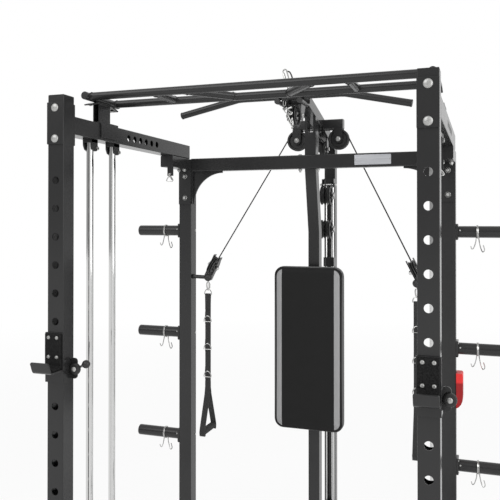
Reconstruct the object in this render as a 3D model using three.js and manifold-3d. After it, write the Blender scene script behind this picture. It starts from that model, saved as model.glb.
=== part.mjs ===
// A power cage with a guided bar, a lat boom and two swivel cable pulleys.
// Millimetres. x runs to the right, y to the rear and z up from the floor. Every size below is given in
// cage coordinates: x from the middle plane, y from the front face of the front uprights.
import * as THREE from "three";
import { mergeVertices } from "three/addons/utils/BufferGeometryUtils.js";
import Module from "manifold-3d";

const wasm = await Module();
wasm.setup();

// ---------- driving dimensions ----------
const seat = 0.3; // gap between two pieces that touch
const tubeSize = 60; // outside of the square frame tubes
const tubeWall = 3;
const tubeCorner = 4; // outside corner radius of a frame tube
const plate = 5; // bracket and flange plates
const boltHead = 22;
const cageWidth = 1240; // over the outer faces of the uprights
const cageDepth = 1000; // front face of the front uprights to front face of the rear ones
const frontTop = 2100; // top of the front uprights
const footHeight = 12; // rubber feet under the base

// widths and heights that most pieces are placed by
const half = tubeSize / 2;
const uprightX = cageWidth / 2 - half;
const innerFace = cageWidth / 2 - tubeSize;
const railTop = footHeight + tubeSize;

// front uprights
const holePitch = 92;
const pinHole = 25; // diameter of the upright holes
const topHole = frontTop - 278; // height of the highest hole
const holeCount = 16;
const capDepth = 8;

// side beams and their joint plates
const sideBeamTop = frontTop - 62;
const sideBeamBottom = sideBeamTop - tubeSize;
const sideBeamFront = tubeSize + seat + plate;
const sideBeamRear = cageDepth - 15;
const jointPlateTop = sideBeamTop + 39;
const jointPlateBottom = sideBeamTop - 98;
const jointBolt = 25;
const jointBoltInset = 17; // from the plate's ends to its bolts
const sideHole = 22;
const sideHolePitch = 46.6;
const sideHoleCount = 6;
const firstSideHole = 424;

// rear arms and crossbeam
const rearArmFront = cageDepth - 192;
const rearArmHeight = 50;
const rearArmTop = sideBeamBottom - seat;
const rearArmBottom = rearArmTop - rearArmHeight;
const rearFlangeDrop = 160;
const rearBoltPitch = 100;
const crossbeamTop = sideBeamTop - 58;
const crossbeamBottom = crossbeamTop - tubeSize;
const crossbeamDepth = 40;
const gussetSize = 150;
const gussetRim = 8;

// pull-up frame
const barTube = 28; // round tube of the pull-up frame
const pullUpHeight = sideBeamTop + 91; // axis of the pull-up bars
const pullUpFront = 193;
const pullUpRear = 363;
const pullUpOverhang = 28; // the end tubes reach past the two bars
const neutralGrip = 333; // x of the straight grips
const slantGripOuter = 225;
const slantGripInner = 94;
const postMiddle = (pullUpFront + pullUpRear) / 2; // y of the pull-up posts
const postDepth = 75;
const postWidth = 26;
const postWall = 4;
const saddleLength = 114;
const skirtDrop = 50;

// guided bar and its rods
const rodSize = 25; // guide rods of the bar
const rodFront = 202;
const rodRear = 352;
const barHeight = 330; // parked height of the guided bar
const barShaft = 28;
const sleeveSize = 50;
const sleeveStart = cageWidth / 2 + 45; // x where the loading sleeves begin
const sleeveLength = 365;
const collarSize = 74;

// weight pegs on the rear uprights
const pegSize = 48;
const pegLength = 222;
const pegFlange = 66;
const pegPitch = 479;
const topPeg = frontTop - 455;
const pegHeights = [2, 1, 0].map((i) => topPeg - i * pegPitch);
const pegMiddle = cageDepth + 33;

// base, centre post, boom and rear column
const railOverhang = 60; // the base rails reach past the front uprights
const spine = 60; // centre tube of the base
const rearFootBack = cageDepth + 640;
const rearFootHalf = 330;
const rearFootX = 290;
const drainHole = 16;
const centrePostWidth = 50;
const centrePostDepth = 50;
const postUpperFront = cageDepth + crossbeamDepth + seat;
const postLowerFront = cageDepth + 104;
const postUpperBend = crossbeamTop - 55;
const postLowerBend = crossbeamTop - 340;
const boomSize = 50;
const boomFront = cageDepth - 194;
const boomTop = crossbeamTop + 257;
const boomBend = cageDepth + 208;
const boomBendDrop = 72;
const boomEndDrop = 161;
const columnFront = cageDepth + 440;
const columnDepth = 45;
const columnWidth = 52;

// stub arms that carry the arm pulleys
const armPulleyX = 98;
const armPulleyY = cageDepth + 190;
const armPulleyDrop = 49; // from the arm's underside to its pulley's axle
const armTop = boomTop - 79;
const armHeight = 43;
const armPulleyZ = armTop - armHeight - armPulleyDrop;
const armHalf = 118.5;
const armFront = armPulleyY - 14;
const armDepth = 40;
const guideHalf = 12; // half width of the block under the boom where the arm cables meet

// pulleys
const pulleySize = 96;
const pulleyWidth = 24;
const pulleyAxle = 12;
const grooveDepth = 7;
const latPulleyY = boomFront - 16;
const latPulleyZ = boomTop - 117;
const boomPulleySize = 76;
const boomPulleyY = cageDepth + 300;
const boomPulleyZ = boomTop - 203;
const twinPulleySize = 92;
const twinPulleyY = columnFront - 78;
const twinPulleyHeights = [boomPulleyZ - 219, boomPulleyZ - 384];
const twinSpacing = 30;
const twinWidth = 18;

// weight carriage and its rods
const weightRod = 16;
const weightRodX = 17;
const weightRodY = columnFront - 16;
const weightRodTop = boomPulleyZ - 144;
const rodStopDrop = 425; // from the rods' top to the stop block's underside
const rodStopHeight = 45;
const carriageHeight = 170;
const carriageFloor = 120; // parked height of the weight carriage
const carriageHalf = 42;
const hornLength = 290;
const hornSize = 48;

// swivel pulleys and their handles
const cableSize = 6;
const swivelX = innerFace - 103;
const swivelY = cageDepth + 25;
const swivelZ = frontTop - 619;
const swivelRoot = swivelZ - 50;
const swivelPulleySize = 90;
const swivelLean = 0.466; // radians: the swivel pulleys lean into the line of their cable
const ballSize = 36; // stop at the end of an arm cable
const ballZ = swivelZ - 49;
const leaveLength = 22; // straight run off the wheel before the cable hangs down
const ringDrop = 79; // from the ball stop to the top of the strap's ring
const splitDrop = 508; // to where the strap divides
const gripDrop = 690; // to the grip
const strapWidth = 27;
const gripLength = 132;
const gripSize = 30;

// back pad
const padWidth = 304;
const padHeight = 711;
const padFloor = frontTop - 1323;
const padFront = cageDepth - 10;
const padThickness = 50;
const padCorner = 42;
const bracketInset = 130; // from the pad's ends to its back plate

// lat bar
const latBarY = boomFront - 84;
const latBarZ = boomTop - 49;
const latBarHalf = 474;
const latBarStraight = 216;
const latBarDrop = 55;

// J-hooks
const hookHole = 7; // the lower pin sits in this hole, counted from the top
const hookHeight = topHole - hookHole * holePitch;
const hookWidth = 68;
const hookPlate = 6;
const hookReach = 103;
const hookLip = 6;
const hookShelf = 29; // underside of the shelf above the lower pin
const hookFoot = 13;
const hookTop = 149;
const knobSize = 38;
const knobDepth = 32;
const knobBore = 12;
const knobPlace = hookWidth / 2 + knobSize / 2 + seat;
const knobHeight = 27; // above the lower pin

// the row's middle in y, halfway between the hooks' lips and the rear foot
const middleY = (rearFootBack - hookReach - hookLip) / 2;

// ---------- finishes ----------
const finish = (colour, roughness, metalness) =>
  new THREE.MeshStandardMaterial({ color: colour, roughness, metalness });
const framePaint = finish(0x3a3a3a, 0.45, 0.3);
const blackPlastic = finish(0x1c1c1c, 0.6, 0);
const chrome = finish(0xd8d8d6, 0.15, 1);
const rubber = finish(0x161616, 0.9, 0);
const vinyl = finish(0x262626, 0.55, 0);
const webbing = finish(0x222222, 0.85, 0);
const redPlastic = finish(0xd83434, 0.4, 0);

// ---------- solids ----------
function solid(geometry) {
  const bare = geometry.index ? geometry.toNonIndexed() : geometry.clone();
  bare.deleteAttribute("normal");
  bare.deleteAttribute("uv");
  const merged = mergeVertices(bare, 1e-4);
  return new wasm.Manifold(
    new wasm.Mesh({
      numProp: 3,
      vertProperties: merged.attributes.position.array,
      triVerts: new Uint32Array(merged.index.array),
    }),
  );
}

function geometryOf(body) {
  const mesh = body.getMesh();
  const geometry = new THREE.BufferGeometry();
  geometry.setAttribute("position", new THREE.BufferAttribute(mesh.vertProperties, 3));
  geometry.setIndex(new THREE.BufferAttribute(mesh.triVerts, 1));
  geometry.computeVertexNormals();
  return geometry;
}

// A solid turned and moved by a matrix, and one only moved.
const placed = (body, matrix) => solid(geometryOf(body).applyMatrix4(matrix));
const shifted = (body, x, y, z) => placed(body, new THREE.Matrix4().makeTranslation(x, y, z));

const join = (...bodies) => bodies.reduce((whole, next) => whole.add(next));
const cut = (body, ...tools) => tools.reduce((whole, next) => whole.subtract(next), body);

// A box between two corners, given in either order.
function block(x0, x1, y0, y1, z0, z1) {
  const geometry = new THREE.BoxGeometry(Math.abs(x1 - x0), y1 - y0, z1 - z0);
  return solid(geometry.translate((x0 + x1) / 2, (y0 + y1) / 2, (z0 + z1) / 2));
}

// A round bar from one point to another.
function round(from, to, diameter, sides = 16) {
  const start = new THREE.Vector3(...from);
  const end = new THREE.Vector3(...to);
  const along = end.clone().sub(start);
  const geometry = new THREE.CylinderGeometry(diameter / 2, diameter / 2, along.length(), sides);
  const turn = new THREE.Quaternion().setFromUnitVectors(
    new THREE.Vector3(0, 1, 0),
    along.clone().normalize(),
  );
  geometry.applyQuaternion(turn);
  const middle = start.add(end).multiplyScalar(0.5);
  return solid(geometry.translate(middle.x, middle.y, middle.z));
}

// An outline drawn across an axis, pushed along that axis from one place to another.
// Across x it is drawn in y and z, across y in z and x, and across z in x and y.
const unit = (axis) => new THREE.Vector3(axis === "x" ? 1 : 0, axis === "y" ? 1 : 0, axis === "z" ? 1 : 0);
const yzPlane = new THREE.Matrix4().makeBasis(unit("y"), unit("z"), unit("x"));
const zxPlane = new THREE.Matrix4().makeBasis(unit("z"), unit("x"), unit("y"));
function prism(shape, axis, from, to, curveSegments = 4) {
  const geometry = new THREE.ExtrudeGeometry(shape, {
    depth: to - from,
    bevelEnabled: false,
    curveSegments,
  });
  geometry.translate(0, 0, from);
  if (axis !== "z") geometry.applyMatrix4(axis === "x" ? yzPlane : zxPlane);
  return solid(geometry);
}

function polygon(points) {
  const shape = new THREE.Shape();
  points.forEach(([a, b], i) => (i ? shape.lineTo(a, b) : shape.moveTo(a, b)));
  shape.closePath();
  return shape;
}

// A rectangle with round corners about a middle point.
function roundedRectangle(width, height, radius, a = 0, b = 0, PathType = THREE.Shape) {
  const path = new PathType();
  const w = width / 2;
  const h = height / 2;
  const quarter = Math.PI / 2;
  path.moveTo(a + w, b - h + radius);
  path.lineTo(a + w, b + h - radius);
  path.absarc(a + w - radius, b + h - radius, radius, 0, quarter, false);
  path.lineTo(a - w + radius, b + h);
  path.absarc(a - w + radius, b + h - radius, radius, quarter, 2 * quarter, false);
  path.lineTo(a - w, b - h + radius);
  path.absarc(a - w + radius, b - h + radius, radius, 2 * quarter, 3 * quarter, false);
  path.lineTo(a + w - radius, b - h);
  path.absarc(a + w - radius, b - h + radius, radius, 3 * quarter, 4 * quarter, false);
  return path;
}

// The section of a square tube, open along its middle.
function tubeSection(width, height, wall, corner = tubeCorner) {
  const section = roundedRectangle(width, height, corner);
  section.holes.push(
    polygon([
      [-width / 2 + wall, -height / 2 + wall],
      [width / 2 - wall, -height / 2 + wall],
      [width / 2 - wall, height / 2 - wall],
      [-width / 2 + wall, height / 2 - wall],
    ]),
  );
  return section;
}

const tubeAlong = (axis, width, height, from, to) =>
  prism(tubeSection(width, height, tubeWall), axis, from, to, 2);

// The plastic plug in a tube's end.
const tubePlug = (axis, from, to) => {
  const size = tubeSize - 2 * tubeWall + 1;
  return prism(roundedRectangle(size, size, 2), axis, from, to, 1);
};

// A tube or cable of round section along a smooth curve.
function swept(curve, diameter, steps, sides = 8) {
  const section = new THREE.Shape();
  for (let i = 0; i < sides; i++) {
    const angle = (2 * Math.PI * i) / sides;
    const point = [(diameter / 2) * Math.cos(angle), (diameter / 2) * Math.sin(angle)];
    if (i) section.lineTo(...point);
    else section.moveTo(...point);
  }
  section.closePath();
  return solid(new THREE.ExtrudeGeometry(section, { steps, extrudePath: curve, bevelEnabled: false }));
}

// A turned profile of [radius, place] pairs about the x, y or z axis.
function turned(profile, axis, segments = 20) {
  const points = profile.map(([radius, place]) => new THREE.Vector2(radius, place));
  const geometry = new THREE.LatheGeometry(points, segments);
  if (axis === "x") geometry.rotateZ(-Math.PI / 2);
  if (axis === "z") geometry.rotateX(Math.PI / 2);
  return solid(geometry);
}

const dome = (size, height) => [
  [0, 0],
  [size / 2, 0],
  [size / 2, height * 0.6],
  [size * 0.36, height],
  [0, height],
];
// A bolt head on a face, pointing along -y.
const boltOnFront = (x, y, z, size = boltHead) =>
  placed(
    turned(dome(size, size * 0.3), "y", 8),
    new THREE.Matrix4().makeRotationX(Math.PI).setPosition(x, y + 0.2, z),
  );

const cage = new THREE.Group();
cage.position.y = -middleY;
const leftSide = new THREE.Group();
const rightSide = new THREE.Group();
rightSide.scale.x = -1;
cage.add(leftSide, rightSide);

function add(name, body, material, x = 0, y = 0, z = 0, parent = cage) {
  const mesh = new THREE.Mesh(geometryOf(body), material);
  mesh.name = name;
  mesh.position.set(x, y, z);
  parent.add(mesh);
  return mesh;
}

// The same piece on the left and, mirrored, on the right.
function addPair(name, body, material, x, y, z, turn = 0) {
  for (const [side, parent] of [["left_", leftSide], ["right_", rightSide]]) {
    const mesh = add(side + name, body, material, x, y, z, parent);
    mesh.rotation.y = turn;
  }
}

// ---------- uprights ----------
function frontUpright() {
  const foot = railTop + seat;
  let body = tubeAlong("z", tubeSize, tubeSize, foot, frontTop);
  for (let i = 0; i < holeCount; i++) {
    const z = topHole - i * holePitch;
    body = cut(body, round([0, -half - 1, z], [0, half + 1, z], pinHole, 8));
  }
  return join(body, tubePlug("z", frontTop - capDepth, frontTop - 0.5));
}
addPair("front_upright", frontUpright(), framePaint, -uprightX, half, 0);

function rearUpright() {
  let body = tubeAlong("z", tubeSize, tubeSize, railTop + seat, rearArmBottom - seat);
  for (const z of pegHeights) {
    const y = pegMiddle - cageDepth - half;
    const sleeve = round([-half - pegLength, y, z], [-half + 1, y, z], pegSize, 14);
    const bore = round([-half - pegLength - 1, y, z], [-half - pegLength + pegSize, y, z], pegSize - 8, 10);
    const square = roundedRectangle(pegFlange, pegFlange, 10, y, z);
    const flange = prism(square, "x", -half - plate, -half + 1, 2);
    body = join(body, cut(join(sleeve, flange), bore));
  }
  return body;
}
addPair("rear_upright", rearUpright(), framePaint, -uprightX, cageDepth + half, 0);

// ---------- base ----------
function baseRail() {
  const rear = cageDepth + tubeSize + 40;
  const middleZ = footHeight + half;
  const body = join(
    tubeAlong("y", tubeSize, tubeSize, -railOverhang, rear),
    tubePlug("y", -railOverhang + 0.5, -railOverhang + capDepth),
  );
  const feet = [half, cageDepth + half].map((y) => block(-half, half, y - 45, y + 45, 0, footHeight + 0.5));
  return join(shifted(body, 0, 0, middleZ), ...feet);
}
addPair("base_rail", baseRail(), framePaint, -uprightX, 0, 0);

function rearBase() {
  const z = footHeight + half;
  const reach = innerFace - seat;
  const cross = shifted(tubeAlong("x", tubeSize, tubeSize, -reach, reach), 0, cageDepth + half, z);
  const backBar = tubeAlong("x", tubeSize, tubeSize, -rearFootHalf, rearFootHalf);
  const back = shifted(backBar, 0, rearFootBack - half, z);
  const spineBar = tubeAlong("y", spine, tubeSize, cageDepth + tubeSize - 1, rearFootBack - tubeSize + 1);
  const feet = [-rearFootX, rearFootX].map((x) =>
    block(x - half, x + half, rearFootBack - tubeSize, rearFootBack, 0, footHeight + 0.5),
  );
  const drainY = (cageDepth + rearFootBack) / 2 - 150;
  const drain = round([0, drainY, 0], [0, drainY, footHeight + 10], drainHole, 8);
  return cut(join(cross, back, shifted(spineBar, 0, 0, z), ...feet), drain);
}
add("rear_base_frame", rearBase(), framePaint);

// ---------- side beams ----------
function sideBeam() {
  const middleZ = sideBeamTop - half;
  let body = shifted(tubeAlong("y", tubeSize, tubeSize, sideBeamFront - 1, sideBeamRear), 0, 0, middleZ);
  for (let i = 0; i < sideHoleCount; i++) {
    const y = firstSideHole + i * sideHolePitch;
    body = cut(body, round([-half - 1, y, middleZ], [half + 1, y, middleZ], sideHole, 8));
  }
  const flange = block(-half, half, tubeSize + seat, sideBeamFront, jointPlateBottom, jointPlateTop);
  const clampDrop = 42;
  const clamps = [rodFront, rodRear].map((y) => {
    const ears = block(-18, 18, y - 22, y + 22, sideBeamBottom - clampDrop, sideBeamBottom + 0.5);
    const pocket = round([0, y, sideBeamBottom - 50], [0, y, sideBeamBottom - 4], rodSize + 2 * seat, 12);
    const slit = block(-19, 19, y - 5, y + 5, sideBeamBottom - 50, sideBeamBottom - 14);
    return cut(ears, pocket, slit);
  });
  return join(body, flange, ...clamps);
}
addPair("side_beam", sideBeam(), framePaint, -uprightX, 0, 0);

function jointPlate() {
  const height = jointPlateTop - jointPlateBottom;
  const outline = roundedRectangle(height, tubeSize, 4, (jointPlateTop + jointPlateBottom) / 2, 0);
  const body = prism(outline, "y", -seat - plate, -seat, 1);
  const heights = [jointPlateTop - jointBoltInset, jointPlateBottom + jointBoltInset];
  return join(body, ...heights.map((z) => boltOnFront(0, -seat - plate, z, jointBolt)));
}
addPair("joint_plate", jointPlate(), framePaint, -uprightX, 0, 0);

// ---------- rear arms and crossbeam ----------
function rearArm() {
  const z = rearArmTop - rearArmHeight / 2;
  const tube = tubeAlong("y", rearArmHeight, tubeSize, rearArmFront, cageDepth + tubeSize);
  const capShape = roundedRectangle(rearArmHeight - 2, tubeSize - 2, 3, z, 0);
  const cap = prism(capShape, "y", rearArmFront, rearArmFront + capDepth, 1);
  // tab with an eye for a carabiner
  const tabX = 19;
  const tabZ = rearArmBottom - 30;
  const tab = block(tabX - 13, tabX + 13, rearArmFront - 6, rearArmFront + 1, tabZ - 10, rearArmTop);
  const eye = round([tabX, rearArmFront - 8, tabZ], [tabX, rearArmFront + 2, tabZ], 10, 12);
  const face = cageDepth - seat - plate;
  const flangeLow = rearArmBottom - rearFlangeDrop;
  const flange = block(-half, half, face, cageDepth - seat, flangeLow, rearArmBottom + 1);
  const boltZ = rearArmBottom - rearFlangeDrop / 2;
  const bolts = [-0.5, 0.5].map((share) => boltOnFront(0, face, boltZ + share * rearBoltPitch));
  return join(shifted(tube, 0, 0, z), cap, cut(tab, eye), flange, ...bolts);
}
addPair("rear_arm", rearArm(), framePaint, -uprightX, 0, 0);

function crossbeam() {
  const y = cageDepth + crossbeamDepth / 2;
  const end = innerFace - seat;
  const top = crossbeamBottom + 1;
  const foot = crossbeamBottom - gussetSize;
  const tube = shifted(tubeAlong("x", crossbeamDepth, tubeSize, -end, end), 0, y, crossbeamTop - half);
  const gussets = [-1, 1].flatMap((side) => {
    // a corner web whose free edge is a quarter circle
    const web = new THREE.Shape();
    web.moveTo(top, side * end);
    web.lineTo(foot, side * end);
    web.lineTo(foot, side * (end - gussetRim));
    const reach = gussetSize - gussetRim;
    web.absarc(foot, side * (end - gussetSize), reach, (side * Math.PI) / 2, 0, side > 0);
    web.lineTo(top, side * (end - gussetSize));
    web.closePath();
    const rear = cageDepth + crossbeamDepth;
    const flange = block(side * end, side * (end - plate), cageDepth + 2, rear, foot, top);
    return [prism(web, "y", y - 4, y + 4, 8), flange];
  });
  return join(tube, ...gussets);
}
add("rear_crossbeam", crossbeam(), framePaint);

// ---------- pull-up frame ----------
function pullUpFrame() {
  const bar = (x0, y0, x1, y1) => round([x0, y0, pullUpHeight], [x1, y1, pullUpHeight], barTube, 10);
  const grips = [-1, 1].flatMap((side) => [
    bar(side * uprightX, pullUpFront - pullUpOverhang, side * uprightX, pullUpRear + pullUpOverhang),
    bar(side * neutralGrip, pullUpFront, side * neutralGrip, pullUpRear),
    bar(side * slantGripOuter, pullUpFront, side * slantGripInner, pullUpRear),
  ]);
  return join(...grips, ...[pullUpFront, pullUpRear].map((y) => bar(-uprightX, y, uprightX, y)));
}
add("pull_up_frame", pullUpFrame(), framePaint);

// A channel post, open to the front, on a saddle, with a bent plate under the bars' end tube.
function pullUpPost() {
  const head = pullUpHeight - barTube / 2 - seat;
  const base = sideBeamTop + seat;
  const w = postWidth / 2;
  const d = postDepth / 2;
  const channel = polygon([
    [-w, -d],
    [-w + postWall, -d],
    [-w + postWall, d - postWall],
    [w - postWall, d - postWall],
    [w - postWall, -d],
    [w, -d],
    [w, d],
    [-w, d],
  ]);
  const wing = 88;
  const bentPlate = polygon([
    [-wing, head - 12],
    [-wing + 4, head - 16],
    [-wing / 2, head - plate],
    [wing / 2, head - plate],
    [wing - 4, head - 16],
    [wing, head - 12],
    [wing / 2 + 4, head],
    [-wing / 2 - 4, head],
  ]);
  const ends = saddleLength / 2;
  const saddle = block(-half, half + seat + plate, -ends, ends, base, base + plate);
  const skirt = block(half + seat, half + seat + plate, -ends, ends, base - skirtDrop, base + 1);
  return join(
    prism(channel, "z", base, head),
    prism(bentPlate, "x", -w - plate, w + plate),
    saddle,
    skirt,
  );
}
addPair("pull_up_post", pullUpPost(), framePaint, -uprightX, postMiddle, 0);

// ---------- boom, centre post and rear column ----------
// The boom's top line: level at the front, then falling in two slopes to the rear.
const boomLine = [
  [boomFront, boomTop],
  [boomFront + 99, boomTop],
  [boomBend, boomTop - boomBendDrop],
  [columnFront + columnDepth + 15, boomTop - boomEndDrop],
];
const boomTopAt = (y) => {
  const next = Math.max(boomLine.findIndex(([place]) => place >= y), 1);
  const [[y0, z0], [y1, z1]] = [boomLine[next - 1], boomLine[next]];
  return z0 + ((z1 - z0) * (y - y0)) / (y1 - y0);
};
const boomUnder = (y) => boomTopAt(y) - boomSize;
// The band between the boom's top line and its underside, drawn in from both by a wall.
const boomBand = (line, wall) =>
  polygon([
    ...line.map(([y, z]) => [y, z - wall]),
    ...line.map(([y, z]) => [y, z - boomSize + wall]).reverse(),
  ]);

// A pair of plates at either side of the middle plane, from one distance out to another.
const bothSides = (inner, outer, make) => [-1, 1].map((side) => make(side * inner, side * outer));

function boom() {
  const w = boomSize / 2;
  const open = boomLine.slice(1).map(([y, z], i) => [i ? y + 1 : y, z]);
  const tube = cut(
    prism(boomBand(boomLine, 0), "x", -w, w),
    prism(boomBand(open, tubeWall), "x", -w + tubeWall, w - tubeWall),
  );
  // cheeks for the front pulley
  const under = boomUnder(boomFront);
  const cheek = polygon([
    [latPulleyY - 16, latPulleyZ - 20],
    [latPulleyY + 16, latPulleyZ - 20],
    [boomFront + 60, under + 20],
    [boomFront - 30, under + 20],
  ]);
  const cheeks = bothSides(w, w + plate, (near, far) =>
    prism(cheek, "x", Math.min(near, far), Math.max(near, far)),
  );
  const latAxle = round([-w - 1, latPulleyY, latPulleyZ], [w + 1, latPulleyY, latPulleyZ], pulleyAxle - 1, 8);
  // two pegs that the lat bar rests on
  const holder = block(-boomSize - 10, boomSize + 10, boomFront - 6, boomFront + 1, under - 18, under + 12);
  const pegRod = 18;
  const pegZ = latBarZ - (barTube + pegRod) / 2 - seat;
  const pegs = [-46, 46].map((x) => round([x, latBarY - 34, pegZ], [x, boomFront - 3, pegZ], pegRod, 12));
  // fork for the pulley under the boom
  const forkIn = pulleyWidth / 2 + 4;
  const forkTop = boomUnder(boomPulleyY + 18) + 8;
  const fork = bothSides(forkIn, forkIn + plate, (near, far) =>
    block(near, far, boomPulleyY - 18, boomPulleyY + 18, boomPulleyZ - 16, forkTop),
  );
  const forkAxle = round(
    [-forkIn - 1, boomPulleyY, boomPulleyZ],
    [forkIn + 1, boomPulleyY, boomPulleyZ],
    pulleyAxle - 1,
    8,
  );
  const guideTop = boomUnder(armPulleyY - 14) + 4;
  const guide = block(-guideHalf, guideHalf, armPulleyY - 14, armPulleyY + 14, armPulleyZ + 34, guideTop);
  return join(tube, ...cheeks, latAxle, holder, ...pegs, ...fork, forkAxle, guide);
}
add("lat_boom", boom(), framePaint);

// Two stub arms on the boom, each with a hanging fork.
function pulleyArm() {
  const inner = boomSize / 2 + seat;
  const under = armTop - armHeight;
  const section = tubeSection(armDepth, armHeight, tubeWall, 4);
  const bar = prism(section, "x", -armHalf, -inner, 2);
  const tube = shifted(bar, 0, armFront + armDepth / 2, under + armHeight / 2);
  const cap = block(-armHalf, -armHalf + 4, armFront + 1, armFront + armDepth - 1, under + 1, armTop - 1);
  const x = -armPulleyX;
  const earHalf = 20;
  const ears = [-earHalf, earHalf - plate].map((offset) => {
    const near = armPulleyY + offset;
    return join(
      block(x - earHalf, x + earHalf, near, near + plate, armPulleyZ, under + 1),
      round([x, near, armPulleyZ], [x, near + plate, armPulleyZ], 2 * earHalf, 12),
    );
  });
  const reach = earHalf - plate + 1;
  const axleAt = (offset) => [x, armPulleyY + offset, armPulleyZ];
  const axle = round(axleAt(-reach), axleAt(reach), pulleyAxle - 1, 8);
  return join(tube, cap, ...ears, axle, boltOnFront(x, armPulleyY - earHalf, armPulleyZ, 20));
}
addPair("pulley_arm", pulleyArm(), framePaint, 0, 0, 0);

// The post leans back between two bends, so that it clears the pad below the crossbeam.
function centrePost() {
  const foot = railTop + seat;
  const back = centrePostDepth;
  const bend = 6; // how much higher the rear face bends
  const topAt = (y) => boomUnder(y) - seat;
  const outline = polygon([
    [postUpperFront, topAt(postUpperFront)],
    [postUpperFront, postUpperBend],
    [postLowerFront, postLowerBend],
    [postLowerFront, foot],
    [postLowerFront + back, foot],
    [postLowerFront + back, postLowerBend + bend],
    [postUpperFront + back, postUpperBend + bend],
    [postUpperFront + back, topAt(postUpperFront + back)],
  ]);
  const body = prism(outline, "x", -centrePostWidth / 2, centrePostWidth / 2);
  const window = roundedRectangle(72, 26, 3, boomTop - 116, 0);
  return cut(body, prism(window, "y", postUpperFront - 1, postUpperFront + back + 1, 2));
}
add("centre_post", centrePost(), framePaint);

function rearColumn() {
  const back = columnFront + columnDepth;
  const w = columnWidth / 2;
  const outline = polygon([
    [columnFront, railTop + seat],
    [back, railTop + seat],
    [back, boomUnder(back) - seat],
    [columnFront, boomUnder(columnFront) - seat],
  ]);
  const forks = twinPulleyHeights.flatMap((z) => [
    ...bothSides(w - 1, w + 4, (near, far) =>
      block(near, far, twinPulleyY - 14, columnFront + 20, z - 16, z + 16),
    ),
    round([-w - 8, twinPulleyY, z], [w + 8, twinPulleyY, z], pulleyAxle - 1, 8),
  ]);
  // the blocks that hold the weight rods, bored for them
  const rodBlock = (low, high) => {
    const body = block(-w, w, weightRodY - 15, columnFront + 1, low, high);
    const bores = [-weightRodX, weightRodX].map((x) =>
      round([x, weightRodY, low - 1], [x, weightRodY, high + 1], weightRod + 2 * seat, 12),
    );
    return cut(body, ...bores);
  };
  const stopLow = weightRodTop - rodStopDrop;
  const stop = rodBlock(stopLow, stopLow + rodStopHeight);
  return join(prism(outline, "x", -w, w), ...forks, stop, rodBlock(weightRodTop - 20, weightRodTop + 10));
}
add("rear_column", rearColumn(), framePaint);

// ---------- pulleys ----------
// A grooved wheel about the x axis with a bearing hub.
function pulley(diameter, width, segments = 16, bore = pulleyAxle) {
  const r = diameter / 2;
  const w = width / 2;
  return turned(
    [
      [bore / 2, -w],
      [r * 0.36, -w],
      [r * 0.6, -w * 0.5],
      [r, -w],
      [r - grooveDepth, 0],
      [r, w],
      [r * 0.6, w * 0.5],
      [r * 0.36, w],
      [bore / 2, w],
      [bore / 2, -w],
    ],
    "x",
    segments,
  );
}
add("lat_pulley", pulley(pulleySize, pulleyWidth), blackPlastic, 0, latPulleyY, latPulleyZ);
add("boom_pulley", pulley(boomPulleySize, pulleyWidth), blackPlastic, 0, boomPulleyY, boomPulleyZ);
for (const [side, parent] of [["left_", leftSide], ["right_", rightSide]]) {
  const wheel = pulley(pulleySize, pulleyWidth);
  const mesh = add(side + "arm_pulley", wheel, blackPlastic, -armPulleyX, armPulleyY, armPulleyZ, parent);
  mesh.rotation.z = Math.PI / 2;
}

// Two wheels on one hub.
function twinPulley() {
  const wheel = pulley(twinPulleySize, twinWidth, 14);
  const reach = (twinSpacing - twinWidth) / 2 + 0.5;
  const bore = pulleyAxle / 2;
  const hub = turned([[bore, -reach], [10, -reach], [10, reach], [bore, reach], [bore, -reach]], "x", 14);
  return join(shifted(wheel, -twinSpacing / 2, 0, 0), shifted(wheel, twinSpacing / 2, 0, 0), hub);
}
for (const [i, name] of ["upper_twin_pulley", "lower_twin_pulley"].entries()) {
  add(name, twinPulley(), blackPlastic, 0, twinPulleyY, twinPulleyHeights[i]);
}

// ---------- rods ----------
const guideRod = round([0, 0, railTop + seat], [0, 0, sideBeamBottom - 5], rodSize, 12);
addPair("front_guide_rod", guideRod, chrome, -uprightX, rodFront, 0);
addPair("rear_guide_rod", guideRod, chrome, -uprightX, rodRear, 0);
const carriageRod = round([0, 0, railTop + seat], [0, 0, weightRodTop], weightRod, 12);
addPair("weight_rod", carriageRod, chrome, -weightRodX, weightRodY, 0);

// ---------- guided bar ----------
const barY = (rodFront + rodRear) / 2;
function guidedBar() {
  const end = sleeveStart + sleeveLength;
  const shaft = round([5 - end, 0, 0], [end - 5, 0, 0], barShaft, 12);
  const sleeves = [-1, 1].flatMap((side) => [
    round([side * (sleeveStart - 18), 0, 0], [side * sleeveStart, 0, 0], collarSize, 16),
    round([side * (sleeveStart - 1), 0, 0], [side * end, 0, 0], sleeveSize, 16),
  ]);
  return join(shaft, ...sleeves);
}
add("smith_bar", guidedBar(), chrome, 0, barY, barHeight);

// Two linear bearings on the rods, with the bar's hub between them.
function barCarriage() {
  const reach = (rodRear - rodFront) / 2;
  const bearingHalf = 55;
  const hubHalf = 24;
  const web = block(-10, 10, -reach, reach, -40, 40);
  const hub = round([-hubHalf, 0, 0], [hubHalf, 0, 0], barShaft + 22, 14);
  const housings = [-reach, reach].map((y) =>
    round([0, y, -bearingHalf], [0, y, bearingHalf], rodSize + 20, 14),
  );
  const bores = [-reach, reach].map((y) =>
    round([0, y, -bearingHalf - 1], [0, y, bearingHalf + 1], rodSize + 2 * seat, 12),
  );
  // twice the shaft's sides, so that the shaft turns in it without touching
  const bearing = round([-hubHalf - 1, 0, 0], [hubHalf + 1, 0, 0], barShaft + 2 * seat, 24);
  return cut(join(...housings, web, hub), ...bores, bearing);
}
addPair("bar_carriage", barCarriage(), framePaint, -uprightX, barY, barHeight);

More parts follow.
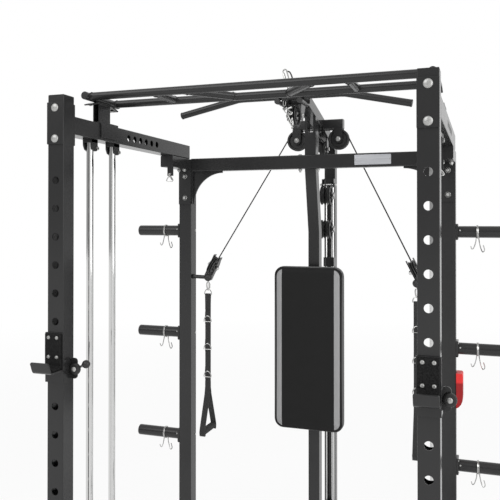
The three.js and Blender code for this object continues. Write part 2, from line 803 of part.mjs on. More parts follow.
// Latch hook: a collar on the bar with an arm that reaches for the holes in the front upright.
function latchHook() {
  const ring = round([-10, 0, 0], [10, 0, 0], 50, 16);
  const collar = cut(ring, round([-11, 0, 0], [11, 0, 0], barShaft + 2 * seat, 16));
  const reach = barY - tubeSize;
  const tip = reach - 4;
  const arm = polygon([
    [-20, -14],
    [-20, 14],
    [-tip + 26, 12],
    [-tip + 8, 22],
    [-tip, 22],
    [-tip, -2],
    [-tip + 26, -12],
  ]);
  return join(collar, prism(arm, "x", -4, 4));
}
addPair("latch_hook", latchHook(), framePaint, -uprightX + 42, barY, barHeight);

// ---------- weight carriage ----------
// A folded carriage on two rods, with a horn for plates at either side.
function weightCarriage() {
  const low = carriageFloor;
  const high = carriageFloor + carriageHeight;
  const front = weightRodY - 64;
  const back = weightRodY + 11;
  const lead = 24; // how far the body's front face slopes in towards its top and foot
  const outline = polygon([
    [front + lead, low],
    [back, low],
    [back, high],
    [front + lead / 2, high],
    [front, high - lead],
    [front, low + lead],
  ]);
  const hornZ = low + 60;
  const hornY = front + 30;
  const end = carriageHalf + hornLength;
  const horns = [-1, 1].flatMap((side) => [
    round([side * (carriageHalf - 1), hornY, hornZ], [side * end, hornY, hornZ], hornSize, 16),
    round([side * (carriageHalf - 1), hornY, hornZ], [side * (carriageHalf + 12), hornY, hornZ], 80, 16),
  ]);
  const bores = [-weightRodX, weightRodX].map((x) =>
    round([x, weightRodY, low - 1], [x, weightRodY, high + 1], weightRod + 2 * seat, 12),
  );
  return cut(join(prism(outline, "x", -carriageHalf, carriageHalf), ...horns), ...bores);
}
add("weight_carriage", weightCarriage(), framePaint);

// ---------- pad ----------
function backPad() {
  const outline = roundedRectangle(padHeight, padWidth, padCorner, padFloor + padHeight / 2, 0);
  return prism(outline, "y", padFront, padFront + padThickness, 5);
}
add("back_pad", backPad(), vinyl);

function padBracket() {
  const near = padFront + padThickness + seat;
  const low = padFloor + bracketInset;
  const high = padFloor + padHeight - bracketInset;
  const backPlate = prism(
    roundedRectangle(high - low, 2 * 60, 12, (low + high) / 2, 0),
    "y",
    near,
    near + plate + 1,
    2,
  );
  const arms = [low + 60, high - 60].map((z) =>
    block(-20, 20, near + plate, postLowerFront - seat, z - 20, z + 20),
  );
  return join(backPlate, ...arms);
}
add("pad_bracket", padBracket(), framePaint);

// ---------- J-hooks ----------
// Drawn about the lower pin, with y = 0 on the upright's face.
function jHook() {
  const wide = hookWidth / 2;
  const face = -seat;
  const inner = face - hookPlate;
  const shelfTop = hookShelf + hookPlate;
  // back plate and shelf, bent up at the front
  const profile = new THREE.Shape();
  profile.moveTo(face, -hookFoot);
  profile.lineTo(face, hookTop);
  profile.lineTo(inner, hookTop);
  profile.lineTo(inner, shelfTop);
  profile.lineTo(-hookReach + 8, shelfTop);
  profile.quadraticCurveTo(-hookReach, shelfTop, -hookReach, shelfTop + 8);
  profile.lineTo(-hookReach - hookLip, shelfTop + 8);
  profile.quadraticCurveTo(-hookReach - hookLip, hookShelf, -hookReach + 6, hookShelf);
  profile.lineTo(inner, hookShelf);
  profile.lineTo(inner, -hookFoot);
  profile.closePath();
  // the lip's upper corners are round
  const lip = new THREE.Shape();
  const lipLow = shelfTop + 7.5;
  const lipTop = hookShelf + 40;
  const lipCorner = 12;
  lip.moveTo(lipLow, -wide);
  lip.lineTo(lipTop - lipCorner, -wide);
  lip.absarc(lipTop - lipCorner, -wide + lipCorner, lipCorner, -Math.PI / 2, 0, false);
  lip.absarc(lipTop - lipCorner, wide - lipCorner, lipCorner, 0, Math.PI / 2, false);
  lip.lineTo(lipLow, wide);
  lip.closePath();
  const gusset = polygon([
    [inner + 1, hookShelf + 1],
    [-58, hookShelf + 1],
    [inner - 6, -hookFoot],
    [inner + 1, -hookFoot],
  ]);
  // cheeks that hold the upright between them, with sloped rear corners
  const cheekRear = knobDepth + 9;
  const cheekTop = 60;
  const cheek = polygon([
    [face - 1, -hookFoot],
    [cheekRear, -hookFoot],
    [cheekRear, cheekTop - 16],
    [cheekRear - 16, cheekTop],
    [face - 1, cheekTop],
  ]);
  const sides = [-1, 1].flatMap((side) => {
    const low = side < 0 ? -wide : half + seat;
    const high = side < 0 ? -half - seat : wide;
    return [prism(gusset, "x", low, high), prism(cheek, "x", low, high)];
  });
  const pins = [0, holePitch].map((z) => round([0, -1, z], [0, tubeSize - 8, z], pinHole - 2, 10));
  const lugEnd = knobPlace + 14;
  const lug = block(half + seat, lugEnd, knobDepth + 4, cheekRear, knobHeight - 16, knobHeight + 16);
  const knobBolt = join(
    round([knobPlace, 1, knobHeight], [knobPlace, knobDepth + 5, knobHeight], knobBore - 2 * seat, 12),
    round([knobPlace, -2, knobHeight], [knobPlace, 2, knobHeight], knobBore + 5, 12),
  );
  return join(
    prism(profile, "x", -wide, wide, 3),
    prism(lip, "y", -hookReach - hookLip, -hookReach, 3),
    ...sides,
    ...pins,
    lug,
    knobBolt,
  );
}

function hookLiner() {
  const back = -hookPlate - 2 * seat;
  const low = hookShelf + hookPlate + seat;
  const thick = 8;
  const front = -hookReach + 12;
  const outline = polygon([
    [back, low],
    [back, hookTop - 3],
    [back - thick, hookTop - 3],
    [back - thick, low + thick],
    [front, low + thick],
    [front, low],
  ]);
  return prism(outline, "x", -hookWidth / 2 + 5, hookWidth / 2 - 5);
}

// The clamp knob on the hook's side, a grooved ring about its bolt.
function hookKnob() {
  const r = knobSize / 2;
  const front = 2 + seat;
  const profile = [
    [knobBore / 2, front],
    [r * 0.55, front],
    [r * 0.62, front + 3],
    [r * 0.85, front + 3],
    [r, front + 7],
    [r, front + knobDepth],
    [knobBore / 2, front + knobDepth],
    [knobBore / 2, front],
  ];
  return turned(profile, "y", 16);
}
for (const [side, x] of [["left_", -uprightX], ["right_", uprightX]]) {
  add(side + "j_hook", jHook(), framePaint, x, 0, hookHeight);
  add(side + "hook_liner", hookLiner(), rubber, x, 0, hookHeight);
  add(side + "hook_knob", hookKnob(), blackPlastic, x + knobPlace, 0, hookHeight + knobHeight);
}

// ---------- swivel pulleys ----------
const swivelPlace = [-swivelX, swivelY, swivelZ];
const leanWay = new THREE.Vector3(Math.sin(swivelLean), 0, Math.cos(swivelLean));
// Drawn about the wheel: x along its axle, z along the cable that arrives from above.
function swivelBracket() {
  const inside = 14;
  const outside = 18;
  const r = swivelPulleySize / 2;
  const cheeks = bothSides(inside, outside, (near, far) => block(near, far, -14, 14, -r - 16, r + 8));
  const foot = block(-outside, outside, -14, 14, -r - 20, -r - 12);
  const axle = round([-outside - 6, 0, 0], [outside + 6, 0, 0], pulleyAxle - 1, 8);
  const place = new THREE.Matrix4().makeRotationY(swivelLean).setPosition(...swivelPlace);
  return placed(join(...cheeks, foot, axle), place);
}
function swivelArm() {
  // from the upright's inner face inwards, then up along the bracket's foot
  const foot = new THREE.Vector3(...swivelPlace).addScaledVector(leanWay, -swivelPulleySize / 2 - 14);
  const root = new THREE.Vector3(-innerFace + seat, swivelY, swivelRoot);
  const bend = new THREE.Vector3(foot.x - 12, swivelY, swivelRoot - 2);
  return swept(new THREE.QuadraticBezierCurve3(root, bend, foot), 18, 8, 10);
}
addPair("swivel_bracket", join(swivelBracket(), swivelArm()), framePaint, 0, 0, 0);
addPair("swivel_pulley", pulley(swivelPulleySize, 22), blackPlastic, ...swivelPlace, swivelLean);

// ---------- handles ----------
// The radius at which a cable's middle lies in a pulley's groove.
const rimOf = (diameter) => diameter / 2 - grooveDepth + cableSize / 2 + 2 * seat;
const dropX = swivelX + leaveLength * Math.sin(swivelLean);
const dropY = swivelY - rimOf(swivelPulleySize);

// A strap that divides over its grip, hung on the ball stop by a link and a ring.
function strapHandle() {
  const top = ballZ - ringDrop;
  const split = ballZ - splitDrop;
  const gripZ = ballZ - gripDrop;
  const w = strapWidth / 2;
  const legHalf = gripLength / 2 - 4;
  const legs = [-1, 1].map((side) => {
    const leg = polygon([
      [side * 2 - 2, split + 4],
      [side * 2 + 2, split + 4],
      [side * legHalf + 2, gripZ],
      [side * legHalf - 2, gripZ],
    ]);
    return prism(leg, "x", -w, w);
  });
  return join(
    block(-w, w, -2, 2, split, top - 20),
    block(-20, 20, -3, 3, top - 26, top),
    block(-8, 8, -3, 3, top - 4, ballZ - ballSize / 2 - seat),
    round([0, -gripLength / 2, gripZ], [0, gripLength / 2, gripZ], gripSize, 14),
    ...legs,
  );
}
addPair("strap_handle", strapHandle(), webbing, -dropX, dropY, 0);

// ---------- lat bar and its snap ----------
function latBar() {
  const middle = round([-latBarStraight, 0, 0], [latBarStraight, 0, 0], barTube, 10);
  const ends = [-1, 1].map((side) =>
    round([side * (latBarStraight - 3), 0, 0.6], [side * latBarHalf, 0, -latBarDrop], barTube, 10),
  );
  const lug = block(-4, 4, -12, 12, 10, 34);
  const snapRing = new THREE.TorusGeometry(18, 4, 6, 14).rotateX(Math.PI / 2).scale(1, 1, 2);
  return join(middle, ...ends, lug, solid(snapRing.translate(0, -2, 72)));
}
add("lat_bar", latBar(), framePaint, 0, latBarY, latBarZ);

// ---------- cables ----------
// Points round a pulley, set out so that the straight steps between them just clear the groove.
function arcPoints(centre, radius, from, to, count, across, up) {
  const step = (to - from) / count;
  const reach = radius / Math.cos(step / 2);
  return Array.from({ length: count + 1 }, (_, i) => {
    const angle = from + step * i;
    return centre
      .clone()
      .addScaledVector(across, reach * Math.cos(angle))
      .addScaledVector(up, reach * Math.sin(angle));
  });
}
// A route whose steps fall on its own points, so that a straight run costs one step.
class Route extends THREE.Curve {
  constructor(points) {
    super();
    this.points = points;
  }
  getPoint(t) {
    const place = Math.min(Math.max(t, 0), 1) * (this.points.length - 1);
    const i = Math.min(Math.floor(place), this.points.length - 2);
    return this.points[i].clone().lerp(this.points[i + 1], place - i);
  }
  getPointAt(u) {
    return this.getPoint(u);
  }
  getTangentAt(u) {
    return this.getTangent(u);
  }
}
const cable = (points) => swept(new Route(points), cableSize, points.length - 1);

// From the guide block out over the arm pulley, down round the swivel wheel and on to the ball stop.
function armCable() {
  const wheel = new THREE.Vector3(...swivelPlace);
  const armCentre = new THREE.Vector3(-armPulleyX, armPulleyY, armPulleyZ);
  const armRim = rimOf(pulleySize);
  const wheelRim = rimOf(swivelPulleySize);
  const overArm = arcPoints(armCentre, armRim, 0.5 * Math.PI, 0.93 * Math.PI, 6, unit("x"), unit("z"));
  const roundWheel = arcPoints(wheel, wheelRim, 0.35 * Math.PI, Math.PI, 9, unit("y"), leanWay);
  const inner = new THREE.Vector3(-guideHalf - seat, armPulleyY, armPulleyZ + armRim);
  const off = wheel.clone().addScaledVector(unit("y"), -wheelRim).addScaledVector(leanWay, -leaveLength);
  const end = new THREE.Vector3(-dropX, dropY, ballZ);
  const ball = new THREE.SphereGeometry(ballSize / 2, 12, 8).translate(end.x, end.y, end.z);
  return join(cable([inner, ...overArm, ...roundWheel, off, end]), solid(ball));
}
addPair("arm_cable", armCable(), blackPlastic, 0, 0, 0);

// From below the front pulley, over it, along the boom and down behind the boom pulley.
const liftDrop = 60; // below the boom pulley's axle, where the lift cable takes over
function latCable() {
  const frontRim = rimOf(pulleySize);
  const rearRim = rimOf(boomPulleySize);
  const frontCentre = new THREE.Vector3(0, latPulleyY, latPulleyZ);
  const rearCentre = new THREE.Vector3(0, boomPulleyY, boomPulleyZ);
  const front = arcPoints(frontCentre, frontRim, Math.PI, 0.45 * Math.PI, 7, unit("y"), unit("z"));
  const rear = arcPoints(rearCentre, rearRim, 0.45 * Math.PI, 0, 6, unit("y"), unit("z"));
  const start = new THREE.Vector3(0, latPulleyY - frontRim, latPulleyZ - 45);
  const end = new THREE.Vector3(0, boomPulleyY + rearRim, boomPulleyZ - liftDrop);
  return cable([start, ...front, ...rear, end]);
}
add("lat_cable", latCable(), blackPlastic);

function liftCable() {
  const y = boomPulleyY + rimOf(boomPulleySize);
  const low = carriageFloor + carriageHeight + seat;
  return round([0, y, low], [0, y, boomPulleyZ - liftDrop - seat], cableSize, 8);
}
add("lift_cable", liftCable(), blackPlastic);

// ---------- accessory holster ----------
// A moulded pocket on the right rear upright: straight at the back, swept in below.
function holster() {
  const depth = 30;
  const top = frontTop - 1029;
  const low = top - 151;
  const outline = new THREE.Shape();
  outline.moveTo(top, 0);
  outline.lineTo(top, depth - 6);
  outline.absarc(top - 6, depth - 6, 6, 0, Math.PI / 2, false);
  outline.lineTo(low + 35, depth);
  outline.quadraticCurveTo(low + 5, depth - 2, low, 0);
  outline.closePath();
  return prism(outline, "y", -35, 35, 5);
}
add("accessory_holster", holster(), redPlastic, cageWidth / 2 + seat, cageDepth + half, 0);

export default cage;
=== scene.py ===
import math
import bmesh
import bpy
from mathutils import Matrix, Vector


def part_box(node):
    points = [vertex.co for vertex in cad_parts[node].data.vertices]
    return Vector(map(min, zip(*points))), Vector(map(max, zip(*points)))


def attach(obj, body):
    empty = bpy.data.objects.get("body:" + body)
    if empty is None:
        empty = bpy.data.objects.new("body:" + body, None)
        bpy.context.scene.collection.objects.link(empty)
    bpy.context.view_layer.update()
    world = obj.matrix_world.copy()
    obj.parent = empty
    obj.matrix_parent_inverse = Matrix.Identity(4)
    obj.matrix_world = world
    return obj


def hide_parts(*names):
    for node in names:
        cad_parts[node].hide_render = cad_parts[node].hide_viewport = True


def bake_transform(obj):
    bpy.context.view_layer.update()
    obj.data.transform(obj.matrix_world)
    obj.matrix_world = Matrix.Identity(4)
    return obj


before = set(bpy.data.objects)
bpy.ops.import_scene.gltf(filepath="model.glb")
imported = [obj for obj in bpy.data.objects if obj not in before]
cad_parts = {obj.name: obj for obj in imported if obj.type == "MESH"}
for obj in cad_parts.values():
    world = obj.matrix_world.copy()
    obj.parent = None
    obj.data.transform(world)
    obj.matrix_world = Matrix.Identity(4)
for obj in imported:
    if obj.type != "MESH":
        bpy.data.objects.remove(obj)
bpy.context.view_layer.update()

scene = bpy.context.scene
sideNames = ("left", "right")
ways = {"left": -1, "right": 1}  # the side's sign along x


camera = {
    "place": (0.7356, -2.6261, 1.688), "pitchUp": 0.0079, "turnLeft": 0.3322, "lens": 48.39,
    "shiftX": -0.0075, "shiftY": -0.0678,
}


def makeCamera():
    data = bpy.data.cameras.new("camera")
    data.sensor_width = 36.0
    data.lens = camera["lens"]
    data.shift_x = camera["shiftX"]
    data.shift_y = camera["shiftY"]
    holder = bpy.data.objects.new("camera", data)
    holder.location = camera["place"]
    holder.rotation_euler = (math.pi / 2 + camera["pitchUp"], 0.0, camera["turnLeft"])
    scene.collection.objects.link(holder)
    scene.camera = holder


lighting = {
    "worldStrength": 0.85,
    "overhead": 0.8,  # what shiny surfaces see above and below the panels
    "overheadFrom": (0.35, 0.75),  # where the panels give way to it
    "keyPower": 60.0,
    "keySize": 3.0,
    "floorColour": (0.9, 0.9, 0.9, 1.0),
    "floorSize": 60.0,
    "shadowShare": 0.25,  # how much of the floor's own shading the camera sees
    "fade": (2.5, 9.0),  # where the floor turns plain white, in metres from the middle
}

# the studio walls as metal sees them: degrees from straight ahead, and brightness
walls = (
    (-180, 1.0), (-152, 1.0), (-138, 0.5), (-100, 0.4), (-12, 0.4), (12, 0.5), (26, 1.0), (84, 1.0),
    (98, 0.34), (138, 0.4), (158, 1.0), (180, 1.0),
)


def addNode(tree, kind, inputs=None, **settings):
    # a shader node, each of whose inputs takes a value or another node's output
    node = tree.nodes.new("ShaderNode" + kind)
    for name, value in settings.items():
        setattr(node, name, value)
    for name, value in (inputs or {}).items():
        if isinstance(value, bpy.types.NodeSocket):
            tree.links.new(value, node.inputs[name])
        else:
            node.inputs[name].default_value = value
    return node


def linkedMath(tree, operation, *values):
    return addNode(tree, "Math", dict(enumerate(values)), operation=operation).outputs["Value"]


def splitPlace(tree, space="Object"):
    place = addNode(tree, "TexCoord")
    return addNode(tree, "SeparateXYZ", {"Vector": place.outputs[space]}).outputs


def grey(level):
    return (level, level, level, 1.0)


def meshObject(name, mesh):
    # an object made of a bmesh, which is used up
    data = bpy.data.meshes.new(name)
    mesh.to_mesh(data)
    mesh.free()
    holder = bpy.data.objects.new(name, data)
    scene.collection.objects.link(holder)
    return holder


def seenDirectly(tree):
    # 1 for rays from the camera and for those off metal or through glass
    path = addNode(tree, "LightPath")
    shiny = linkedMath(tree, "MAXIMUM", path.outputs["Is Glossy Ray"], path.outputs["Is Transmission Ray"])
    return linkedMath(tree, "MAXIMUM", path.outputs["Is Camera Ray"], shiny), path


def makeWorld():
    world = bpy.data.worlds.new("studio")
    scene.world = world
    world.use_nodes = True
    tree = world.node_tree
    tree.nodes.clear()
    soft = addNode(tree, "Background", {"Color": grey(1.0), "Strength": lighting["worldStrength"]})
    either, path = seenDirectly(tree)
    split = splitPlace(tree, "Generated")
    turn = linkedMath(tree, "ARCTAN2", split["X"], linkedMath(tree, "MULTIPLY", split["Y"], -1.0))
    share = linkedMath(tree, "MULTIPLY_ADD", turn, 1 / (2 * math.pi), 0.5)
    ring = addNode(tree, "ValToRGB", {"Fac": share})
    stops = ring.color_ramp.elements
    while len(stops) < len(walls):
        stops.new(0.5)
    for stop, (degrees, level) in zip(stops, walls):
        stop.position = degrees / 360 + 0.5
        stop.color = grey(level)
    height = linkedMath(tree, "ABSOLUTE", split["Z"])
    low, high = lighting["overheadFrom"]
    rise = addNode(tree, "MapRange", {"From Min": low, "From Max": high, "Value": height})
    colour = ring.outputs["Color"]
    for factor, level in (
        (rise.outputs["Result"], lighting["overhead"]), (path.outputs["Is Camera Ray"], 1.0),
    ):
        mixed = addNode(tree, "MixRGB", {"Fac": factor, "Color1": colour, "Color2": grey(level)})
        colour = mixed.outputs["Color"]
    white = addNode(tree, "Background", {"Color": colour, "Strength": 1.0})
    shares = {"Fac": either, 1: soft.outputs["Background"], 2: white.outputs["Background"]}
    mix = addNode(tree, "MixShader", shares)
    addNode(tree, "OutputWorld", {"Surface": mix.outputs["Shader"]})


def addLamp(name, place, target, size, power):
    data = bpy.data.lights.new(name, "AREA")
    data.shape = "SQUARE"
    data.size = size
    data.energy = power
    lamp = bpy.data.objects.new(name, data)
    lamp.location = place
    aim = Vector(target) - Vector(place)
    lamp.rotation_euler = aim.to_track_quat("-Z", "Y").to_euler()
    scene.collection.objects.link(lamp)


def makeFloor():
    mesh = bmesh.new()
    bmesh.ops.create_grid(mesh, x_segments=1, y_segments=1, size=lighting["floorSize"] / 2)
    floor = meshObject("floor", mesh)
    floor.location.z = -0.0005
    material = bpy.data.materials.new("floor")
    material.use_nodes = True
    tree = material.node_tree
    tree.nodes.clear()
    pale = addNode(tree, "BsdfDiffuse", {"Color": lighting["floorColour"]})
    white = addNode(tree, "Emission", {"Strength": 1.0})
    either = seenDirectly(tree)[0]
    place = addNode(tree, "TexCoord")
    reach = addNode(tree, "VectorMath", {0: place.outputs["Object"]}, operation="LENGTH")
    near, far = lighting["fade"]
    span = {"From Min": near, "From Max": far, "To Min": 1.0 - lighting["shadowShare"]}
    fade = addNode(tree, "MapRange", {**span, "Value": reach.outputs["Value"]})
    share = linkedMath(tree, "MULTIPLY", either, fade.outputs["Result"])
    shares = {"Fac": share, 1: pale.outputs["BSDF"], 2: white.outputs["Emission"]}
    mix = addNode(tree, "MixShader", shares)
    addNode(tree, "OutputMaterial", {"Surface": mix.outputs["Shader"]})
    floor.data.materials.append(material)


print("camera, light and floor")
makeCamera()
makeWorld()
makeFloor()
addLamp("key", (-1.6, -3.4, 4.2), (0.0, 0.0, 1.3), lighting["keySize"], lighting["keyPower"])
addLamp("side", (3.4, -1.2, 2.6), (0.0, 0.0, 1.3), lighting["keySize"], lighting["keyPower"])
scene.view_settings.view_transform = "Standard"


def shaderOf(material):
    return material.node_tree.nodes["Principled BSDF"]


def newMaterial(name, colour, roughness, metallic=0.0, specular=0.5):
    material = bpy.data.materials.new(name)
    material.use_nodes = True
    shader = shaderOf(material)
    shader.inputs["Base Color"].default_value = (*colour, 1.0)
    shader.inputs["Roughness"].default_value = roughness
    shader.inputs["Metallic"].default_value = metallic
    shader.inputs["Specular IOR Level"].default_value = specular
    return material


def feedShader(material, output, name):
    material.node_tree.links.new(output, shaderOf(material).inputs[name])


def addPattern(material, kind, scale, detail=2.0, stretch=(1.0, 1.0, 1.0)):
    tree = material.node_tree
    place = addNode(tree, "TexCoord")
    mapping = addNode(tree, "Mapping", {"Scale": stretch, "Vector": place.outputs["Object"]})
    pattern = addNode(tree, kind, {"Scale": scale, "Vector": mapping.outputs["Vector"]})
    if "Detail" in pattern.inputs:
        pattern.inputs["Detail"].default_value = detail
    return pattern


def addBump(material, height, strength, distance):
    bump = addNode(material.node_tree, "Bump", {"Strength": strength, "Distance": distance, "Height": height})
    feedShader(material, bump.outputs["Normal"], "Normal")


def varyColour(material, factor, dark, light):
    ramp = addNode(material.node_tree, "ValToRGB", {"Fac": factor})
    for stop, place, colour in zip(ramp.color_ramp.elements, (0.3, 0.7), (dark, light)):
        stop.position = place
        stop.color = (*colour, 1.0)
    feedShader(material, ramp.outputs["Color"], "Base Color")


def varyRoughness(material, factor, low, high):
    span = addNode(material.node_tree, "MapRange", {"To Min": low, "To Max": high, "Value": factor})
    feedShader(material, span.outputs["Result"], "Roughness")


def powderCoat():
    material = newMaterial("frame_paint", (0.0205, 0.0205, 0.0208), 0.22, 0.0, 0.38)
    cloud = addPattern(material, "TexNoise", 6.0, 3.0)
    varyColour(material, cloud.outputs["Fac"], (0.0193, 0.0193, 0.0196), (0.0217, 0.0217, 0.022))
    grain = addPattern(material, "TexNoise", 900.0, 2.0)
    varyRoughness(material, grain.outputs["Fac"], 0.18, 0.27)
    addBump(material, grain.outputs["Fac"], 0.05, 0.0003)
    return material


def mouldedPlastic(name, dark, light, roughness):
    material = newMaterial(name, dark, roughness)
    cloud = addPattern(material, "TexNoise", 18.0, 3.0)
    varyColour(material, cloud.outputs["Fac"], dark, light)
    grain = addPattern(material, "TexVoronoi", 1400.0)
    addBump(material, grain.outputs["Distance"], 0.12, 0.0002)
    return material


# the pad's cover: a dark field, two light side panels that follow its outline, and rows of stitches
padCover = {
    "field": (0.0125, 0.0125, 0.0125),
    "panel": (0.315, 0.315, 0.318),
    "panelFrom": 0.1163,  # x of the straight inner seam
    "border": 0.0098,  # dark edge outside the panels
    "corner": 0.042,
    "side": (0.105, 0.105, 0.106),
    "sideFrom": 0.010,
    "sideInset": 0.005,
    "seam": 0.0011,
    "stitchPitch": 0.0058,
    "stitchInset": 0.0030,
    "stitch": 0.0006,  # half a stitch's thickness
    "stitchShare": 0.68,  # of the pitch
    "thread": (0.006, 0.006, 0.006),
}


def padVinyl(low, high):
    material = newMaterial("pad_vinyl", padCover["field"], 0.5, 0.0, 0.15)
    tree = material.node_tree
    split = splitPlace(tree)

    def calc(operation, *values):
        return linkedMath(tree, operation, *values)

    corner = padCover["corner"]
    sideways = calc("ABSOLUTE", calc("SUBTRACT", split["X"], (low.x + high.x) / 2))
    upwards = calc("ABSOLUTE", calc("SUBTRACT", split["Z"], (low.z + high.z) / 2))
    pastSide = calc("SUBTRACT", sideways, (high.x - low.x) / 2 - corner)
    pastTop = calc("SUBTRACT", upwards, (high.z - low.z) / 2 - corner)
    sideOnly = calc("MAXIMUM", pastSide, 0.0)
    topOnly = calc("MAXIMUM", pastTop, 0.0)
    squares = calc("ADD", calc("MULTIPLY", sideOnly, sideOnly), calc("MULTIPLY", topOnly, topOnly))
    within = calc("MINIMUM", calc("MAXIMUM", pastSide, pastTop), 0.0)
    inset = calc("SUBTRACT", corner, calc("ADD", calc("SQRT", squares), within))
    fromEdge = calc("SUBTRACT", inset, padCover["border"])
    fromSeam = calc("SUBTRACT", sideways, padCover["panelFrom"])
    front = calc("LESS_THAN", split["Y"], (low.y + high.y) / 2)
    inside = calc("MULTIPLY", calc("GREATER_THAN", fromEdge, 0.0), calc("GREATER_THAN", fromSeam, 0.0))
    panel = calc("MULTIPLY", inside, front)
    nearest = calc("MINIMUM", calc("ABSOLUTE", fromSeam), calc("ABSOLUTE", fromEdge))
    seamLine = calc("MULTIPLY", calc("LESS_THAN", nearest, padCover["seam"]), front)

    leather = addPattern(material, "TexVoronoi", 620.0)
    cloud = addPattern(material, "TexNoise", 14.0, 3.0)
    shade = addNode(tree, "MapRange", {"To Min": 0.92, "To Max": 1.08, "Value": cloud.outputs["Fac"]})
    around = calc("LESS_THAN", inset, padCover["sideInset"])
    behind = calc("GREATER_THAN", split["Y"], low.y + padCover["sideFrom"])
    colour = (*padCover["field"], 1.0)
    for share, tint in (
        (panel, padCover["panel"]), (calc("MULTIPLY", around, behind), padCover["side"]),
        (calc("MULTIPLY", seamLine, 0.85), padCover["thread"]),
    ):
        mixed = addNode(tree, "MixRGB", {"Fac": share, "Color1": colour, "Color2": (*tint, 1.0)})
        colour = mixed.outputs["Color"]
    tinted = addNode(tree, "VectorMath", {0: colour, "Scale": shade.outputs["Result"]}, operation="SCALE")
    feedShader(material, tinted.outputs["Vector"], "Base Color")

    offSeam = calc("ABSOLUTE", calc("ADD", fromSeam, padCover["stitchInset"]))
    row = calc("LESS_THAN", offSeam, padCover["stitch"])
    along = calc("FRACT", calc("DIVIDE", upwards, padCover["stitchPitch"]))
    stitches = calc("MULTIPLY", row, calc("LESS_THAN", along, padCover["stitchShare"]))
    dent = calc("MULTIPLY", seamLine, -2.0)
    relief = calc("ADD", calc("MULTIPLY", leather.outputs["Distance"], 0.5), calc("ADD", stitches, dent))
    addBump(material, relief, 0.35, 0.0006)
    varyRoughness(material, leather.outputs["Distance"], 0.42, 0.58)
    return material


def wovenStrap():
    material = newMaterial("woven_strap", (0.016, 0.016, 0.016), 0.85)
    rib = addPattern(material, "TexWave", 260.0, 0.5, (0.2, 0.2, 1.0))
    rib.bands_direction = "Z"
    addBump(material, rib.outputs["Fac"], 0.5, 0.0006)
    varyColour(material, rib.outputs["Fac"], (0.011, 0.011, 0.011), (0.024, 0.024, 0.024))
    shaderOf(material).inputs["Sheen Weight"].default_value = 0.2
    return material


def redPlastic(shadeLine):
    # painted light: a brighter red above the given height, painted shade: a deeper red below it
    material = newMaterial("red_plastic", (0.55, 0.04, 0.04), 0.45, 0.0, 0.25)
    tree = material.node_tree
    span = {"From Min": shadeLine - 0.010, "From Max": shadeLine + 0.010}
    rise = addNode(tree, "MapRange", {**span, "Value": splitPlace(tree)["Z"]})
    varyColour(material, rise.outputs["Result"], (0.3, 0.013, 0.015), (0.68, 0.034, 0.033))
    grain = addPattern(material, "TexNoise", 1200.0, 2.0)
    addBump(material, grain.outputs["Fac"], 0.06, 0.0003)
    return material


def onePattern(name, shade, pattern, colours=None, spread=None, relief=None):
    # a material whose one pattern varies its colour, its roughness or its relief
    material = newMaterial(name, *shade)
    marks = addPattern(material, *pattern).outputs["Fac"]
    if colours:
        varyColour(material, marks, *colours)
    if spread:
        varyRoughness(material, marks, *spread)
    if relief:
        addBump(material, marks, *relief)
    return material


paint = powderCoat()
chrome = onePattern(
    "chrome_plate", ((0.64, 0.64, 0.635), 0.07, 1.0), ("TexNoise", 35.0, 4.0, (1.0, 1.0, 0.15)),
    spread=(0.05, 0.12),
)
zinc = onePattern(
    "zinc_plate", ((0.42, 0.42, 0.41), 0.3, 0.5), ("TexNoise", 220.0, 3.0),
    ((0.37, 0.37, 0.36), (0.47, 0.47, 0.46)), (0.22, 0.38),
)
steel = onePattern(
    "spring_steel", ((0.5, 0.5, 0.49), 0.16, 1.0), ("TexNoise", 120.0, 3.0),
    ((0.42, 0.42, 0.41), (0.58, 0.58, 0.57)), (0.12, 0.22),
)
plastic = mouldedPlastic("black_plastic", (0.012, 0.012, 0.012), (0.018, 0.018, 0.018), 0.42)
cover = mouldedPlastic("cable_cover", (0.008, 0.008, 0.008), (0.014, 0.014, 0.014), 0.36)
rubber = onePattern(
    "crumb_rubber", ((0.008, 0.008, 0.008), 0.8, 0.0, 0.15), ("TexNoise", 260.0, 4.0),
    ((0.003, 0.003, 0.003), (0.02, 0.02, 0.02)), relief=(0.7, 0.002),
)
vinyl = padVinyl(*map(Vector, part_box("back_pad")))
strapCloth = wovenStrap()
foam = onePattern(
    "foam_grip", ((0.014, 0.014, 0.014), 0.8), ("TexNoise", 700.0, 3.0),
    ((0.01, 0.01, 0.01), (0.026, 0.026, 0.026)), relief=(0.4, 0.0006),
)
knurled = onePattern(
    "knurled_steel", ((0.7, 0.7, 0.69), 0.25, 1.0), ("TexWave", 420.0, 0.0, (1.0, 0.7, 0.7)),
    relief=(0.8, 0.0004),
)
# the holster's top 40 mm takes the painted light, the rest of it the painted shade
red = redPlastic(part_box("accessory_holster")[1][2] - 0.040)
label = onePattern(
    "label_steel", ((0.6, 0.61, 0.64), 0.3, 0.7), ("TexNoise", 90.0, 5.0, (0.08, 1.0, 6.0)),
    ((0.5, 0.51, 0.54), (0.74, 0.75, 0.78)), (0.24, 0.4),
)


weldGap = 1e-6  # corners nearer than this become one


def alongAxis(direction):
    return Vector(direction).to_track_quat("Z", "Y").to_matrix().to_4x4()


def addBlock(mesh, size, centre):
    made = bmesh.ops.create_cube(mesh, size=1.0)["verts"]
    bmesh.ops.scale(mesh, vec=size, verts=made)
    bmesh.ops.translate(mesh, vec=centre, verts=made)
    return made


def bevelEdges(mesh, edges, offset, segments, clamp=False):
    bmesh.ops.bevel(
        mesh, geom=edges, offset=offset, segments=segments, profile=0.5, affect="EDGES", material=-1,
        clamp_overlap=clamp,
    )


def addBox(mesh, low, high, bevel=0.0, segments=2):
    low = Vector(low)
    high = Vector(high)
    made = addBlock(mesh, high - low, (low + high) / 2)
    if bevel:
        bevelEdges(mesh, list({edge for vert in made for edge in vert.link_edges}), bevel, segments)


